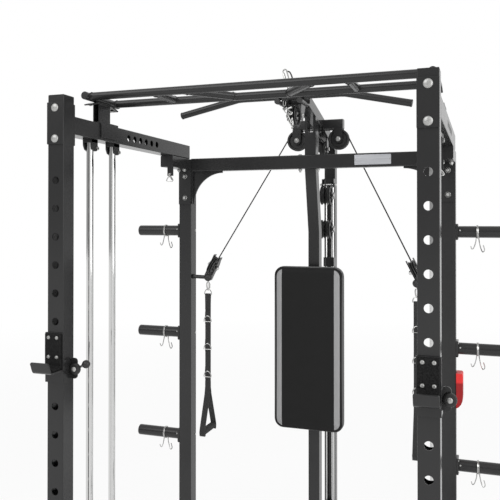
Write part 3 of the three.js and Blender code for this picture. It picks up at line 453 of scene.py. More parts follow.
def addRod(mesh, start, end, diameter, sides=32, bevel=0.0, endDiameter=None):
    start = Vector(start)
    end = Vector(end)
    made = bmesh.ops.create_cone(
        mesh, cap_ends=True, segments=sides, radius1=diameter / 2, radius2=(endDiameter or diameter) / 2,
        depth=(end - start).length,
    )["verts"]
    placeAlong(mesh, made, (start + end) / 2, end - start)
    if bevel:
        caps = {face for vert in made for face in vert.link_faces if len(face.verts) == sides}
        edges = list({edge for face in caps for edge in face.edges})
        bevelEdges(mesh, edges, bevel, 3)


def spinRound(mesh, geom, steps):
    bmesh.ops.spin(
        mesh, geom=geom, cent=(0.0, 0.0, 0.0), axis=(0.0, 0.0, 1.0), angle=2 * math.pi, steps=steps,
        use_merge=True,
    )


def placeAlong(mesh, verts, centre, axis):
    move = Matrix.Translation(Vector(centre)) @ alongAxis(axis)
    bmesh.ops.transform(mesh, matrix=move, verts=verts)


def addLathe(mesh, profile, centre, axis, steps=48):
    # profile: (radius, place along the axis) pairs; a profile that ends on the axis closes itself
    verts = [mesh.verts.new((radius, 0.0, place)) for radius, place in profile]
    edges = [mesh.edges.new(pair) for pair in zip(verts, verts[1:])]
    spinRound(mesh, verts + edges, steps)
    made = linked(verts)
    placeAlong(mesh, made, centre, axis)
    bmesh.ops.remove_doubles(mesh, verts=made, dist=weldGap)


def addRing(mesh, centre, axis, size, thickness, steps=32, sides=12):
    # a round wire bent into a ring
    made = bmesh.ops.create_circle(mesh, cap_ends=False, segments=sides, radius=thickness / 2)["verts"]
    turn = Matrix.Translation((size / 2, 0.0, 0.0)) @ Matrix.Rotation(math.pi / 2, 4, "X")
    bmesh.ops.transform(mesh, matrix=turn, verts=made)
    spinRound(mesh, made + list({edge for vert in made for edge in vert.link_edges}), steps)
    placeAlong(mesh, linked(made), centre, axis)


def linked(verts):
    found = {vert for vert in verts if vert.is_valid}
    fresh = set(found)
    while fresh:
        fresh = {edge.other_vert(vert) for vert in fresh for edge in vert.link_edges} - found
        found |= fresh
    return list(found)


def addPlate(mesh, outline, depth):
    # a flat outline pushed along the vector depth
    face = mesh.faces.new([mesh.verts.new(point) for point in outline])
    made = bmesh.ops.extrude_face_region(mesh, geom=[face])["geom"]
    verts = [item for item in made if isinstance(item, bmesh.types.BMVert)]
    bmesh.ops.translate(mesh, vec=depth, verts=verts)
    return linked(verts)


def roundCorners(mesh, verts, axis, radius, segments=4):
    # rounds the edges of one solid that run along an axis
    edges = []
    for edge in {edge for vert in verts for edge in vert.link_edges}:
        run = (edge.verts[1].co - edge.verts[0].co).normalized()
        if abs(run[axis]) > 0.999:
            edges.append(edge)
    bevelEdges(mesh, edges, radius, segments)


def addTube(mesh, low, high, axis, corner, wall):
    # a square tube with round corners, open at both ends
    low = Vector(low)
    high = Vector(high)
    made = addBlock(mesh, high - low, (low + high) / 2)
    roundCorners(mesh, made, axis, corner)
    ends = []
    for face in mesh.faces:
        inside = all(low[i] - 1e-5 <= face.calc_center_median()[i] <= high[i] + 1e-5 for i in range(3))
        if inside and abs(face.normal[axis]) > 0.999:
            ends.append(face)
    bmesh.ops.inset_individual(mesh, faces=ends, thickness=wall)
    rims = list({edge for face in ends for edge in face.edges})
    bmesh.ops.delete(mesh, geom=ends, context="FACES_KEEP_BOUNDARY")
    bmesh.ops.bridge_loops(mesh, edges=rims)


def addBolt(mesh, place, axis, size, sides=24):
    # a round head on a washer, with a round socket
    r = size / 2
    profile = [
        (0.0, 0.0), (r, 0.0), (r, size * 0.07), (r * 0.86, size * 0.09), (r * 0.82, size * 0.24),
        (r * 0.62, size * 0.34), (r * 0.3, size * 0.36), (r * 0.28, size * 0.2), (0.0, size * 0.2),
    ]
    addLathe(mesh, profile, place, axis, sides)


def addNut(mesh, place, axis, size):
    end = Vector(place) + Vector(axis).normalized() * size * 0.42
    addRod(mesh, place, end, size, 6, size * 0.05)


def evaluatedMesh(holder):
    bpy.context.view_layer.update()
    return bpy.data.meshes.new_from_object(holder.evaluated_get(bpy.context.evaluated_depsgraph_get()))


def bakeModifiers(piece):
    baked = evaluatedMesh(piece)
    piece.modifiers.clear()
    piece.data = baked


def addWire(mesh, points, diameter, sides=12, closed=False):
    # a round wire along a line of points, made as a curve and taken in as a mesh
    curve = bpy.data.curves.new("wire", "CURVE")
    curve.dimensions = "3D"
    curve.bevel_depth = diameter / 2
    curve.bevel_resolution = max(sides // 4 - 1, 1)
    curve.use_fill_caps = True
    line = curve.splines.new("POLY")
    line.points.add(len(points) - 1)
    for target, point in zip(line.points, points):
        target.co = (*point, 1.0)
    line.use_cyclic_u = closed
    holder = bpy.data.objects.new("wire", curve)
    scene.collection.objects.link(holder)
    drawn = evaluatedMesh(holder)
    mesh.from_mesh(drawn)
    bpy.data.objects.remove(holder)
    bpy.data.meshes.remove(drawn)


def smoothLine(points, steps=8):
    # a Catmull-Rom line through the points
    points = [Vector(point) for point in points]
    padded = [2 * points[0] - points[1], *points, 2 * points[-1] - points[-2]]
    line = []
    for a, b, c, d in zip(padded, padded[1:], padded[2:], padded[3:]):
        for i in range(steps):
            t = i / steps
            line.append(
                0.5
                * (2 * b + (c - a) * t + (2 * a - 5 * b + 4 * c - d) * t**2 + (3 * b - a - 3 * c + d) * t**3)
            )
    line.append(points[-1])
    return line


flatAngle = math.radians(26)


def softenEdges(mesh, width, segments=2):
    edges = [edge for edge in mesh.edges if edge.is_manifold and edge.calc_face_angle(0.0) > flatAngle]
    bevelEdges(mesh, edges, width, segments, True)


def drill(piece, cutters):
    bmesh.ops.recalc_face_normals(cutters, faces=cutters.faces)
    tool = meshObject("drill", cutters)
    holes = piece.modifiers.new("holes", "BOOLEAN")
    holes.operation = "DIFFERENCE"
    holes.solver = "EXACT"
    holes.object = tool
    bakeModifiers(piece)
    bpy.data.objects.remove(tool)


def makePiece(name, mesh, material, body="frame", replaces=(), cutters=None, edge=0.0):
    bmesh.ops.remove_doubles(mesh, verts=mesh.verts, dist=weldGap)
    bmesh.ops.recalc_face_normals(mesh, faces=mesh.faces)
    piece = meshObject(name, mesh)
    if cutters is not None:
        drill(piece, cutters)
    if edge:
        soft = bmesh.new()
        soft.from_mesh(piece.data)
        bmesh.ops.remove_doubles(soft, verts=soft.verts, dist=weldGap)
        softenEdges(soft, edge)
        soft.to_mesh(piece.data)
        soft.free()
    piece.data.shade_smooth()
    piece.data.set_sharp_from_angle(angle=flatAngle)
    piece.data.materials.clear()
    piece.data.materials.append(material)
    even = piece.modifiers.new("even_faces", "WEIGHTED_NORMAL")
    even.keep_sharp = True
    even.weight = 100
    if body:
        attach(piece, body)
    if replaces:
        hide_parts(*replaces)
    return piece


def dressNode(node, name, body="frame", edge=0.001):
    # the CAD node's own form, welded, with its edges softened
    mesh = bmesh.new()
    mesh.from_mesh(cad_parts[node].data)
    bmesh.ops.remove_doubles(mesh, verts=mesh.verts, dist=1e-5)
    bmesh.ops.dissolve_limit(
        mesh, angle_limit=math.radians(0.6), verts=mesh.verts, edges=mesh.edges,
        use_dissolve_boundaries=False,
    )
    makePiece(name, mesh, paint, body, replaces=(node,), edge=edge)


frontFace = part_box("left_front_upright")[0][1]
sideX = 590  # the side walls' middle, in cage millimetres
rodHole = 0.0129  # radius of what fits round a guide rod, in metres


def cage(x, y, z):
    # x from the middle, y from the front uprights' face, z from the floor, in millimetres
    return Vector((x / 1000, frontFace + y / 1000, z / 1000))


def yAt(depth):
    return cage(0, depth, 0).y


def corners(node):
    low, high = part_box(node)
    return Vector(low), Vector(high)


# front uprights: square tubes with a row of round pin holes
upright = {
    "corner": 0.0026,
    "wall": 0.003,
    "hole": 0.025,
    "rearHole": 0.044,  # the rear wall's holes are wider than the front wall's
    "pitch": 0.092,
    "topHole": 1.822,
    "holes": 16,
    "rim": 0.0005,
    "capCorner": 0.0022,
}


def makeFrontUpright(side):
    low, high = corners(side + "_front_upright")
    middle = (low + high) / 2
    mesh = bmesh.new()
    addTube(mesh, low, high, 2, upright["corner"], upright["wall"])
    cutters = bmesh.new()
    for i in range(upright["holes"]):
        z = upright["topHole"] - i * upright["pitch"]
        addRod(cutters, (middle.x, low.y - 0.01, z), (middle.x, middle.y, z), upright["hole"], 40)
        addRod(cutters, (middle.x, middle.y, z), (middle.x, high.y + 0.01, z), upright["rearHole"], 40)
    node = side + "_front_upright"
    makePiece(side + "_upright_tube", mesh, paint, replaces=(node,), cutters=cutters, edge=upright["rim"])
    inset = upright["wall"] + 0.0002
    cap = bmesh.new()
    addBox(
        cap, (low.x + inset, low.y + inset, high.z - 0.012),
        (high.x - inset, high.y - inset, high.z + 0.0004), upright["capCorner"], 3,
    )
    addBox(
        cap, (low.x + 0.001, low.y + 0.001, high.z + 0.0002),
        (high.x - 0.001, high.y - 0.001, high.z + 0.0026), 0.0011, 3,
    )
    makePiece(side + "_upright_cap", cap, plastic)


# side beams: tubes with six cross holes, an end flange and two clamps for the guide rods
sideBeam = {
    "corner": 0.0026, "wall": 0.003, "hole": 0.025, "pitch": 0.0466, "firstHole": 424, "holes": 6,
    "rods": (202, 352), "clampWall": 0.0052, "clampBolt": 0.014,
}


def makeSideBeam(side):
    node = side + "_side_beam"
    low, high = corners(node)
    beamTop = cage(0, 0, 2038).z
    beamLow = beamTop - 0.06
    flangeRear = low.y + 0.005
    middle = (low + high) / 2
    mesh = bmesh.new()
    addTube(
        mesh, (low.x, flangeRear - 0.001, beamLow), (high.x, high.y, beamTop), 1, sideBeam["corner"],
        sideBeam["wall"],
    )
    cutters = bmesh.new()
    for i in range(sideBeam["holes"]):
        y = yAt(sideBeam["firstHole"]) + i * sideBeam["pitch"]
        addRod(
            cutters, (low.x - 0.01, y, beamTop - 0.03), (high.x + 0.01, y, beamTop - 0.03),
            sideBeam["hole"], 36,
        )
    makePiece(side + "_beam_tube", mesh, paint, replaces=(node,), cutters=cutters, edge=0.0005)
    flange = bmesh.new()
    addBox(flange, (low.x, low.y, 1.940), (high.x, flangeRear, 2.077), 0.0011, 3)
    cap = bmesh.new()
    addBox(
        cap, (low.x + 0.0032, high.y - 0.01, beamLow + 0.0032),
        (high.x - 0.0032, high.y + 0.0015, beamTop - 0.0032), 0.0016, 3,
    )
    makePiece(side + "_beam_flange", flange, paint)
    makePiece(side + "_beam_cap", cap, plastic)
    clamps = bmesh.new()
    bolts = bmesh.new()
    for rod in sideBeam["rods"]:
        y = yAt(rod)
        for way in (-1, 1):
            inner = 0.0128 * way + middle.x
            outline = [
                (inner, y - 0.020, beamLow + 0.0005), (inner, y - 0.019, beamLow - 0.022),
                (inner, y - 0.011, beamLow - 0.036), (inner, y + 0.004, beamLow - 0.042),
                (inner, y + 0.016, beamLow - 0.040), (inner, y + 0.0215, beamLow - 0.030),
                (inner, y + 0.022, beamLow + 0.0005),
            ]
            addPlate(clamps, outline, (sideBeam["clampWall"] * way, 0, 0))
        addBox(
            clamps, (middle.x - 0.018, y - 0.0195, beamLow - 0.012),
            (middle.x + 0.018, y + 0.0215, beamLow + 0.0003), 0.001,
        )
        place = y + 0.0172
        ends = (middle.x - 0.0225, middle.x + 0.0225)
        z = beamLow - 0.030
        addRod(bolts, (ends[0], place, z), (ends[1], place, z), sideBeam["clampBolt"] * 0.62, 16)
        for end, way in ((ends[0], 1), (ends[1], -1)):
            tip = (end + 0.0045 * way, place, z)
            addRod(bolts, (end, place, z), tip, sideBeam["clampBolt"], 6, 0.0006)
    makePiece(side + "_rod_clamps", clamps, paint, edge=0.0009)
    makePiece(side + "_clamp_bolts", bolts, zinc)


# joint plates on the uprights' faces, with two domed bolts each
jointPlate = {"bolt": 0.0262, "inset": 0.018, "edge": 0.0012}


def makeJointPlate(side):
    node = side + "_joint_plate"
    low, high = corners(node)
    middle = (low + high) / 2
    face = high.y - 0.005
    mesh = bmesh.new()
    addBox(mesh, (low.x - 0.0005, face, low.z), (high.x + 0.0005, high.y, high.z), jointPlate["edge"], 3)
    makePiece(side + "_joint_cover", mesh, paint, replaces=(node,))
    places = [(middle.x, face, z) for z in (low.z + jointPlate["inset"], high.z - jointPlate["inset"])]
    makeBolts(side + "_joint_bolts", places, (0, -1, 0), jointPlate["bolt"])


def addDomedBolt(mesh, place, axis, size, rise=0.235):
    # a low round head on a thin washer; rise is its height as a share of its size
    r = size / 2
    profile = [(0.0, -0.0004), (r, -0.0004), (r, size * 0.05), (r * 0.95, size * 0.075)]
    for i in range(1, 7):
        angle = i / 6 * math.pi / 2
        profile.append((r * 0.93 * math.cos(angle), size * (0.075 + (rise - 0.075) * math.sin(angle))))
    profile[-1] = (0.0, size * rise)
    addLathe(mesh, profile, place, axis, 36)


def makeBolts(name, places, axis, size, rise=0.235):
    mesh = bmesh.new()
    for place in places:
        addDomedBolt(mesh, place, axis, size, rise)
    makePiece(name, mesh, zinc)


# rear uprights: tubes with three plate pegs each, and a spring collar on every peg
rearUpright = {
    "corner": 0.0026, "wall": 0.003, "pegs": (687, 1166, 1645), "pegY": 1033, "peg": 0.048,
    "pegEnd": 842, "innerBolt": 1050, "flange": 0.066, "flangeDepth": 0.0085, "collarAt": 704,
    "wire": 0.0042,
}


def makeRearUpright(side):
    way = ways[side]
    node = side + "_rear_upright"
    low, high = corners(node)
    outer = 0.62 * way
    inner = 0.56 * way
    front = yAt(1000)
    mesh = bmesh.new()
    addTube(
        mesh, (min(outer, inner), front, low.z), (max(outer, inner), front + 0.06, high.z), 2,
        rearUpright["corner"], rearUpright["wall"],
    )
    makePiece(side + "_rear_tube", mesh, paint, replaces=(node,), edge=0.0005)
    pegs = bmesh.new()
    collars = bmesh.new()
    screws = bmesh.new()
    pegEnd = way * rearUpright["pegEnd"] / 1000
    half = rearUpright["flange"] / 2
    thick = rearUpright["flangeDepth"]
    for height in rearUpright["pegs"]:
        centre = cage(0, rearUpright["pegY"], height)
        r = rearUpright["peg"] / 2
        span = abs(pegEnd - outer)
        profile = [
            (0.0, span - 0.004), (r * 0.55, span - 0.004), (r * 0.66, span - 0.001), (r * 0.84, span),
            (r * 0.95, span - 0.0012), (r, span - 0.004), (r, 0.0), (0.0, 0.0),
        ]
        addLathe(pegs, profile, (outer, centre.y, centre.z), (way, 0, 0), 48)
        plateLow = Vector((min(outer, outer + way * thick), centre.y - half, centre.z - half))
        plateHigh = Vector((max(outer, outer + way * thick), centre.y + half, centre.z + half))
        made = addBlock(pegs, plateHigh - plateLow, (plateLow + plateHigh) / 2)
        roundCorners(pegs, made, 0, 0.009, 5)
        addSpringCollar(collars, Vector((way * rearUpright["collarAt"] / 1000, centre.y, centre.z)), r, way)
        for dz in (-0.024, 0.024):
            place = (outer + way * thick, centre.y - 0.024, centre.z + dz)
            addBolt(screws, place, (way, 0, 0), 0.008, 16)
        addDomedBolt(
            screws, (outer + way * 0.016, centre.y - r + 0.0008, centre.z + 0.006), (0, -1, 0), 0.007,
        )
        addDomedBolt(screws, (inner, yAt(rearUpright["innerBolt"]), centre.z), (-way, 0, 0), 0.012)
    makePiece(side + "_plate_pegs", pegs, paint, edge=0.0006)
    makePiece(side + "_spring_collars", collars, steel)
    makePiece(side + "_peg_screws", screws, zinc)


def addSpringCollar(mesh, centre, radius, way):
    # two turns and a quarter of spring wire about the peg, its two ends bent down into handles
    wire = rearUpright["wire"]
    reach = radius + wire / 2 + 0.0002
    coil = []
    turns = 2.25
    steps = 60
    for i in range(steps + 1):
        share = i / steps
        angle = -math.pi / 2 - math.pi / 8 + share * turns * 2 * math.pi
        along = (share - 0.5) * 2.2 * wire
        coil.append(centre + Vector((along, reach * math.cos(angle), reach * math.sin(angle))))
    startTip = [
        centre + Vector((-0.026, -0.012, -radius - 0.034)),
        centre + Vector((-0.022, -0.008, -radius - 0.046)),
        centre + Vector((-0.014, -0.010, -radius - 0.040)),
        centre + Vector((-0.006, -0.012, -radius - 0.014)),
    ]
    endTip = [
        centre + Vector((0.006, 0.010, -radius - 0.010)),
        centre + Vector((0.012, 0.010, -radius - 0.040)),
        centre + Vector((0.020, 0.008, -radius - 0.058)),
        centre + Vector((0.027, 0.010, -radius - 0.050)),
        centre + Vector((0.022, 0.010, -radius - 0.030)),
    ]
    line = smoothLine([*startTip, coil[0]], 6)[:-1] + coil + smoothLine([coil[-1], *endTip], 6)[1:]
    addWire(mesh, line, wire, 12)


# base: rails, cross tubes and rubber feet
baseFoot = {"height": 0.0125, "proud": 0.002, "corner": 0.004}


def makeBase():
    for side in sideNames:
        dressNode(side + "_base_rail", side + "_floor_rail", edge=0.0012)
        low, high = corners(side + "_base_rail")
        feet = bmesh.new()
        for y in (yAt(30), yAt(1030)):
            addBox(
                feet, (low.x - baseFoot["proud"], y - 0.047, 0.0),
                (high.x + baseFoot["proud"], y + 0.047, baseFoot["height"]), baseFoot["corner"], 3,
            )
        makePiece(side + "_rail_feet", feet, rubber)
        plates = bmesh.new()
        bolts = bmesh.new()
        x = (low.x + high.x) / 2
        for y in (yAt(0), yAt(1000)):
            for way in (-1, 1):
                corner = 0.0305 * way + x
                outline = [
                    (corner, y + 0.004, 0.0715), (corner, y + 0.004, 0.13), (corner, y + 0.012, 0.138),
                    (corner, y + 0.048, 0.138), (corner, y + 0.056, 0.13), (corner, y + 0.056, 0.030),
                    (corner, y + 0.004, 0.030),
                ]
                addPlate(plates, outline, (0.004 * way, 0, 0))
                for z in (0.045, 0.113):
                    addDomedBolt(bolts, (corner + 0.004 * way, y + 0.03, z), (way, 0, 0), 0.019)
        makePiece(side + "_foot_plates", plates, paint, edge=0.0009)
        makePiece(side + "_foot_bolts", bolts, zinc)
    dressNode("rear_base_frame", "rear_floor_frame", edge=0.0012)
    low, high = corners("rear_base_frame")
    feet = bmesh.new()
    caps = bmesh.new()
    for way in (-1, 1):
        addBox(
            feet, (way * 0.29 - 0.032, high.y - 0.062, 0.0),
            (way * 0.29 + 0.032, high.y, baseFoot["height"]), baseFoot["corner"], 3,
        )
        end = way * 0.33
        addBox(
            caps, (min(end - way * 0.01, end + way * 0.003), high.y - 0.0595, 0.0125),
            (max(end - way * 0.01, end + way * 0.003), high.y - 0.0005, 0.0715), 0.0028, 3,
        )
    makePiece("rear_feet", feet, rubber)
    makePiece("rear_end_caps", caps, plastic)


# rear arms and crossbeam, with their bolts, the hanging links and a bare label plate
rearArm = {
    "bolt": 0.0235, "boltHeights": (1797.7, 1897.7), "tabX": 571, "eyeHeight": 1897.7,
    "linkWire": 0.0042,
}


def addTriangleLink(mesh, top, width, height, wire):
    # a triangular screw link: round wire with rounded corners and a sleeve on one side
    half = width / 2
    outline = [
        top + Vector((0, 0, 0)), top + Vector((0.004, 0, -0.002)),
        top + Vector((half, 0, -height + 0.006)), top + Vector((half - 0.003, 0, -height)),
        top + Vector((0, 0, -height - 0.0005)), top + Vector((-half + 0.003, 0, -height)),
        top + Vector((-half, 0, -height + 0.006)), top + Vector((-0.004, 0, -0.002)),
    ]
    line = smoothLine([*outline, outline[0]], 6)[:-1]
    addWire(mesh, line, wire, 12, True)
    sleeveLow = top + Vector((half * 0.78, 0, -height * 0.76))
    sleeveHigh = top + Vector((half * 0.36, 0, -height * 0.32))
    addRod(mesh, sleeveLow, sleeveHigh, wire * 1.9, 6, wire * 0.15)


def makeRearArm(side):
    way = ways[side]
    node = side + "_rear_arm"
    low = corners(node)[0]
    dressNode(node, side + "_arm_tube", edge=0.0011)
    places = [cage(way * sideX, 994.7, z) for z in rearArm["boltHeights"]]
    makeBolts(side + "_arm_bolts", places, (0, -1, 0), rearArm["bolt"], 0.32)
    link = bmesh.new()
    eye = Vector((way * rearArm["tabX"] / 1000, low.y - 0.001, rearArm["eyeHeight"] / 1000))
    addRing(link, eye + Vector((0, 0, -0.006)), (1, 0, 0), 0.019, rearArm["linkWire"], 32, 10)
    addTriangleLink(link, eye + Vector((0, -0.001, -0.0095)), 0.030, 0.024, rearArm["linkWire"])
    makePiece(side + "_hanging_link", link, steel)
    screws = bmesh.new()
    for y, x in ((yAt(952), 0.572), (yAt(968), 0.606)):
        addNut(screws, (way * x, y, low.z + 0.16), (0, 0, -1), 0.017)
        addRod(screws, (way * x, y, low.z + 0.165), (way * x, y, low.z + 0.148), 0.009, 16, 0.0008)
    makePiece(side + "_arm_screws", screws, zinc)
    tops = [cage(way * sideX, y, 2038) for y in (905, 962)]
    makeBolts(side + "_beam_screws", tops, (0, 0, 1), 0.016)


crossbeam = {
    "labelLeft": 205, "labelRight": 360, "labelLow": 1930, "labelHigh": 1973, "labelCorner": 0.0025,
}


def makeCrossbeam():
    dressNode("rear_crossbeam", "cross_tube", edge=0.0011)
    start = cage(crossbeam["labelLeft"], 999.9, crossbeam["labelLow"])
    end = cage(crossbeam["labelRight"], 999.2, crossbeam["labelHigh"])
    mesh = bmesh.new()
    size = Vector((end.x - start.x, start.y - end.y, end.z - start.z))
    made = addBlock(mesh, size, (start + end) / 2)
    roundCorners(mesh, made, 1, crossbeam["labelCorner"], 5)
    makePiece("label_plate", mesh, label, edge=0.0002)
    rivets = [(x, end.y, (start.z + end.z) / 2) for x in (start.x + 0.005, end.x - 0.005)]
    makeBolts("label_rivets", rivets, (0, -1, 0), 0.0042)
    bolts = bmesh.new()
    for x in (-40, 40):
        top = cage(x, 1020, 1982)
        addDomedBolt(bolts, top, (0, 0, 1), 0.017)
        addNut(bolts, cage(x, 1020, 1919.5), (0, 0, -1), 0.017)
        addRod(bolts, cage(x, 1020, 1919.5), cage(x, 1020, 1905), 0.0095, 16, 0.0008)
    makePiece("cross_bolts", bolts, zinc)


# pull-up frame: round tubes with a weld at each joint
pullUp = {
    "tube": 0.028, "height": 2129, "bars": (193, 363), "endBars": (165, 391), "straightGrip": 333,
    "slantOuter": 225, "slantInner": 94, "weld": 0.0032,
}


def makePullUpFrame():
    mesh = bmesh.new()
    welds = bmesh.new()
    size = pullUp["tube"]
    z = pullUp["height"]
    for y in pullUp["bars"]:
        addRod(mesh, cage(-sideX, y, z), cage(sideX, y, z), size, 40)
    for way in (-1, 1):
        x = way * sideX
        addRod(mesh, cage(x, pullUp["endBars"][0], z), cage(x, pullUp["endBars"][1], z), size, 40, 0.0016)
        grips = (
            (way * pullUp["straightGrip"], way * pullUp["straightGrip"]),
            (way * pullUp["slantOuter"], way * pullUp["slantInner"]),
        )
        for front, rear in grips:
            start = cage(front, pullUp["bars"][0], z)
            end = cage(rear, pullUp["bars"][1], z)
            addRod(mesh, start, end, size, 40)
            along = (end - start).normalized()
            for spot, step in ((start, 1), (end, -1)):
                lean = abs(along.y)
                seam = spot + along * step * (size * 0.5 / lean)
                addRing(welds, seam, along, size + 0.0006, pullUp["weld"], 32, 8)
        for y in pullUp["bars"]:
            seam = cage(x - way * 14, y, z)
            addRing(welds, seam, (1, 0, 0), size + 0.0006, pullUp["weld"], 32, 8)
    makePiece("pull_up_tubes", mesh, paint, replaces=("pull_up_frame",))
    makePiece("pull_up_welds", welds, paint)


def makePullUpPost(side):
    way = ways[side]
    node = side + "_pull_up_post"
    dressNode(node, side + "_post_channel", edge=0.0008)
    head = corners(node)[1].z
    places = [(way * sideX / 1000, yAt(y), head - 0.0135) for y in (204, 352)]
    makeBolts(side + "_post_bolts", places, (0, 0, -1), 0.015)


# boom, stub arms, centre post and rear column
def makeBoom():
    dressNode("lat_boom", "boom_tube", edge=0.0011)
    bolts = bmesh.new()
    for way in (-1, 1):
        place = cage(way * 30, 790, 2120)
        addBolt(bolts, place, (way, 0, 0), 0.020, 24)
        addNut(bolts, cage(way * 21, 1300, 2034), (way, 0, 0), 0.018)
    makePiece("boom_bolts", bolts, zinc)
    pegs = bmesh.new()
    for x in (-46, 46):
        addLathe(
            pegs,
            [(0.0, 0.0), (0.0105, 0.0), (0.0112, 0.0012), (0.0112, 0.014), (0.0092, 0.016), (0.0, 0.016)],
            cage(x, 686.5, 2188 - 14 - 9.3), (0, 1, 0), 32,
        )
    makePiece("peg_caps", pegs, plastic)


def makePulleyArm(side):
    way = ways[side]
    node = side + "_pulley_arm"
    dressNode(node, side + "_stub_arm")
    bolts = bmesh.new()
    centre = cage(way * 98, 1170, 2066)
    addDomedBolt(bolts, centre, (0, -1, 0), 0.0225, 0.32)
    addNut(bolts, cage(way * 98, 1210, 2066), (0, 1, 0), 0.019)
    makePiece(side + "_arm_axle_ends", bolts, zinc)


def makePostAndColumn():
    dressNode("centre_post", "back_post", edge=0.0013)
    dressNode("rear_column", "rod_column")
    bolts = bmesh.new()
    for height in (1815, 1650):
        for way in (-1, 1):
            addNut(bolts, cage(way * 30, 1362, height), (way, 0, 0), 0.018)
    spindle = cage(0, 1404, 1869)
    addRod(bolts, spindle - Vector((0.041, 0, 0)), spindle + Vector((0.041, 0, 0)), 0.010, 20, 0.001)
    for way in (-1, 1):
        addNut(bolts, spindle + Vector((way * 0.030, 0, 0)), (way, 0, 0), 0.019)
    makePiece("column_bolts", bolts, chrome)
    ears = bmesh.new()
    for way in (-1, 1):
        addBox(
            ears, (way * 0.028 - 0.002, spindle.y - 0.013, 1.857),
            (way * 0.028 + 0.002, yAt(1441), 1.897), 0.0009,
        )
    makePiece("column_ears", ears, paint)


# grooved wheels, each with a zinc bearing
wheel = {"groove": 0.0075, "bearing": 0.026, "axle": 0.0122}

# centre, size and width in cage millimetres, and spots along the axle in metres
pulleys = {
    "lat": {"centre": (0, 790, 2120), "size": 96, "width": 24, "spots": (0.0,)},
    "boom": {"centre": (0, 1300, 2034), "size": 76, "width": 24, "spots": (0.0,)},
    "upper_twin": {"centre": (0, 1362, 1815), "size": 92, "width": 18, "spots": (-0.015, 0.015)},
    "lower_twin": {"centre": (0, 1362, 1650), "size": 92, "width": 18, "spots": (-0.015, 0.015)},
}
armPulley = {"centre": (98, 1190, 2066), "size": 96, "width": 24}


def wheelProfile(radius, width):
    half = width / 2
    groove = wheel["groove"]
    lip = width * 0.13
    profile = [(wheel["bearing"] / 2, -half * 0.78), (radius * 0.40, -half * 0.78)]
    profile += [(radius * 0.44, -half * 0.42), (radius * 0.74, -half * 0.42), (radius * 0.80, -half * 0.9)]
    profile += [(radius * 0.84, -half), (radius - 0.0012, -half), (radius, -half + 0.0012)]
    steps = 8
    for i in range(steps + 1):
        share = -1 + 2 * i / steps
        depth = groove * math.cos(share * math.pi / 2) ** 0.8 if abs(share) < 1 else 0.0
        profile.append((radius - depth, share * (half - lip)))
    profile += [(radius, half - 0.0012), (radius - 0.0012, half), (radius * 0.84, half)]
    profile += [(radius * 0.80, half * 0.9), (radius * 0.74, half * 0.42), (radius * 0.44, half * 0.42)]
    profile += [(radius * 0.40, half * 0.78), (wheel["bearing"] / 2, half * 0.78)]
    profile.append((wheel["bearing"] / 2, -half * 0.78))
    return profile


def makeWheel(name, centre, axis, size, width, spots=(0.0,)):
    node = name + "_pulley"  # the body has the node's name
    size /= 1000
    width /= 1000
    mesh = bmesh.new()
    bearings = bmesh.new()
    axis = Vector(axis).normalized()
    for spot in spots:
        place = Vector(centre) + axis * spot
        addLathe(mesh, wheelProfile(size / 2, width), place, axis, 72)
        r = wheel["bearing"] / 2 + 0.0001
        bore = wheel["axle"] / 2
        half = width * 0.41
        race = [
            (bore, -half), (bore + 0.0022, -half), (bore + 0.0026, -half + 0.0006),
            (r - 0.0026, -half + 0.0006), (r - 0.0022, -half), (r, -half), (r, half), (r - 0.0022, half),
            (r - 0.0026, half - 0.0006), (bore + 0.0026, half - 0.0006), (bore + 0.0022, half),
            (bore, half), (bore, -half),
        ]
        addLathe(bearings, race, place, axis, 40)
    if len(spots) > 1:
        reach = (max(spots) - min(spots) - width * 0.8) / 2
        sleeve = [(0.0063, -reach), (0.0098, -reach), (0.0098, reach), (0.0063, reach), (0.0063, -reach)]
        addLathe(bearings, sleeve, centre, axis, 32)
    makePiece(name + "_wheel", mesh, plastic, node, replaces=(node,))
    makePiece(name + "_bearing", bearings, zinc, node)


def makePulleys():
    for name, row in pulleys.items():
        makeWheel(name, cage(*row["centre"]), (1, 0, 0), row["size"], row["width"], row["spots"])
    lean = swivel["lean"]
    x, y, z = armPulley["centre"]
    for side, way in ways.items():
        makeWheel(side + "_arm", cage(way * x, y, z), (0, 1, 0), armPulley["size"], armPulley["width"])
        centre = cage(way * swivel["x"], swivel["y"], swivel["z"])
        axis = (math.cos(lean), 0, way * math.sin(lean))
        makeWheel(side + "_swivel", centre, axis, swivel["wheel"], swivel["wheelWidth"])


# chrome rods
rods = {"guide": 0.025, "weight": 0.016, "edge": 0.0012}


def makeRod(node, name, size):
    low, high = corners(node)
    middle = (low + high) / 2
    mesh = bmesh.new()
    addRod(mesh, (middle.x, middle.y, low.z), (middle.x, middle.y, high.z), size, 48, rods["edge"])
    makePiece(name, mesh, chrome, replaces=(node,))


def makeRods():
    for side in sideNames:
        for place in ("front", "rear"):
            makeRod(side + "_" + place + "_guide_rod", side + "_" + place + "_slide_rod", rods["guide"])
        makeRod(side + "_weight_rod", side + "_stack_rod", rods["weight"])
        pads = bmesh.new()
        for rod in sideBeam["rods"]:
            way = ways[side]
            profile = [(rodHole, 0.0), (0.0235, 0.0), (0.0245, 0.001), (0.0245, 0.021), (0.0225, 0.024)]
            profile += [(rodHole, 0.024), (rodHole, 0.0)]
            addLathe(pads, profile, cage(way * sideX, rod, 72.4), (0, 0, 1), 40)
        makePiece(side + "_rod_buffers", pads, rubber)


# the guided bar: a chrome shaft with knurled hand zones and turned loading sleeves
guidedBar = {
    "shaft": 0.028, "sleeve": 0.050, "collar": 0.074, "collarDepth": 0.018, "sleeveStart": 665,
    "barEnd": 1030, "height": 330, "y": 277,
}


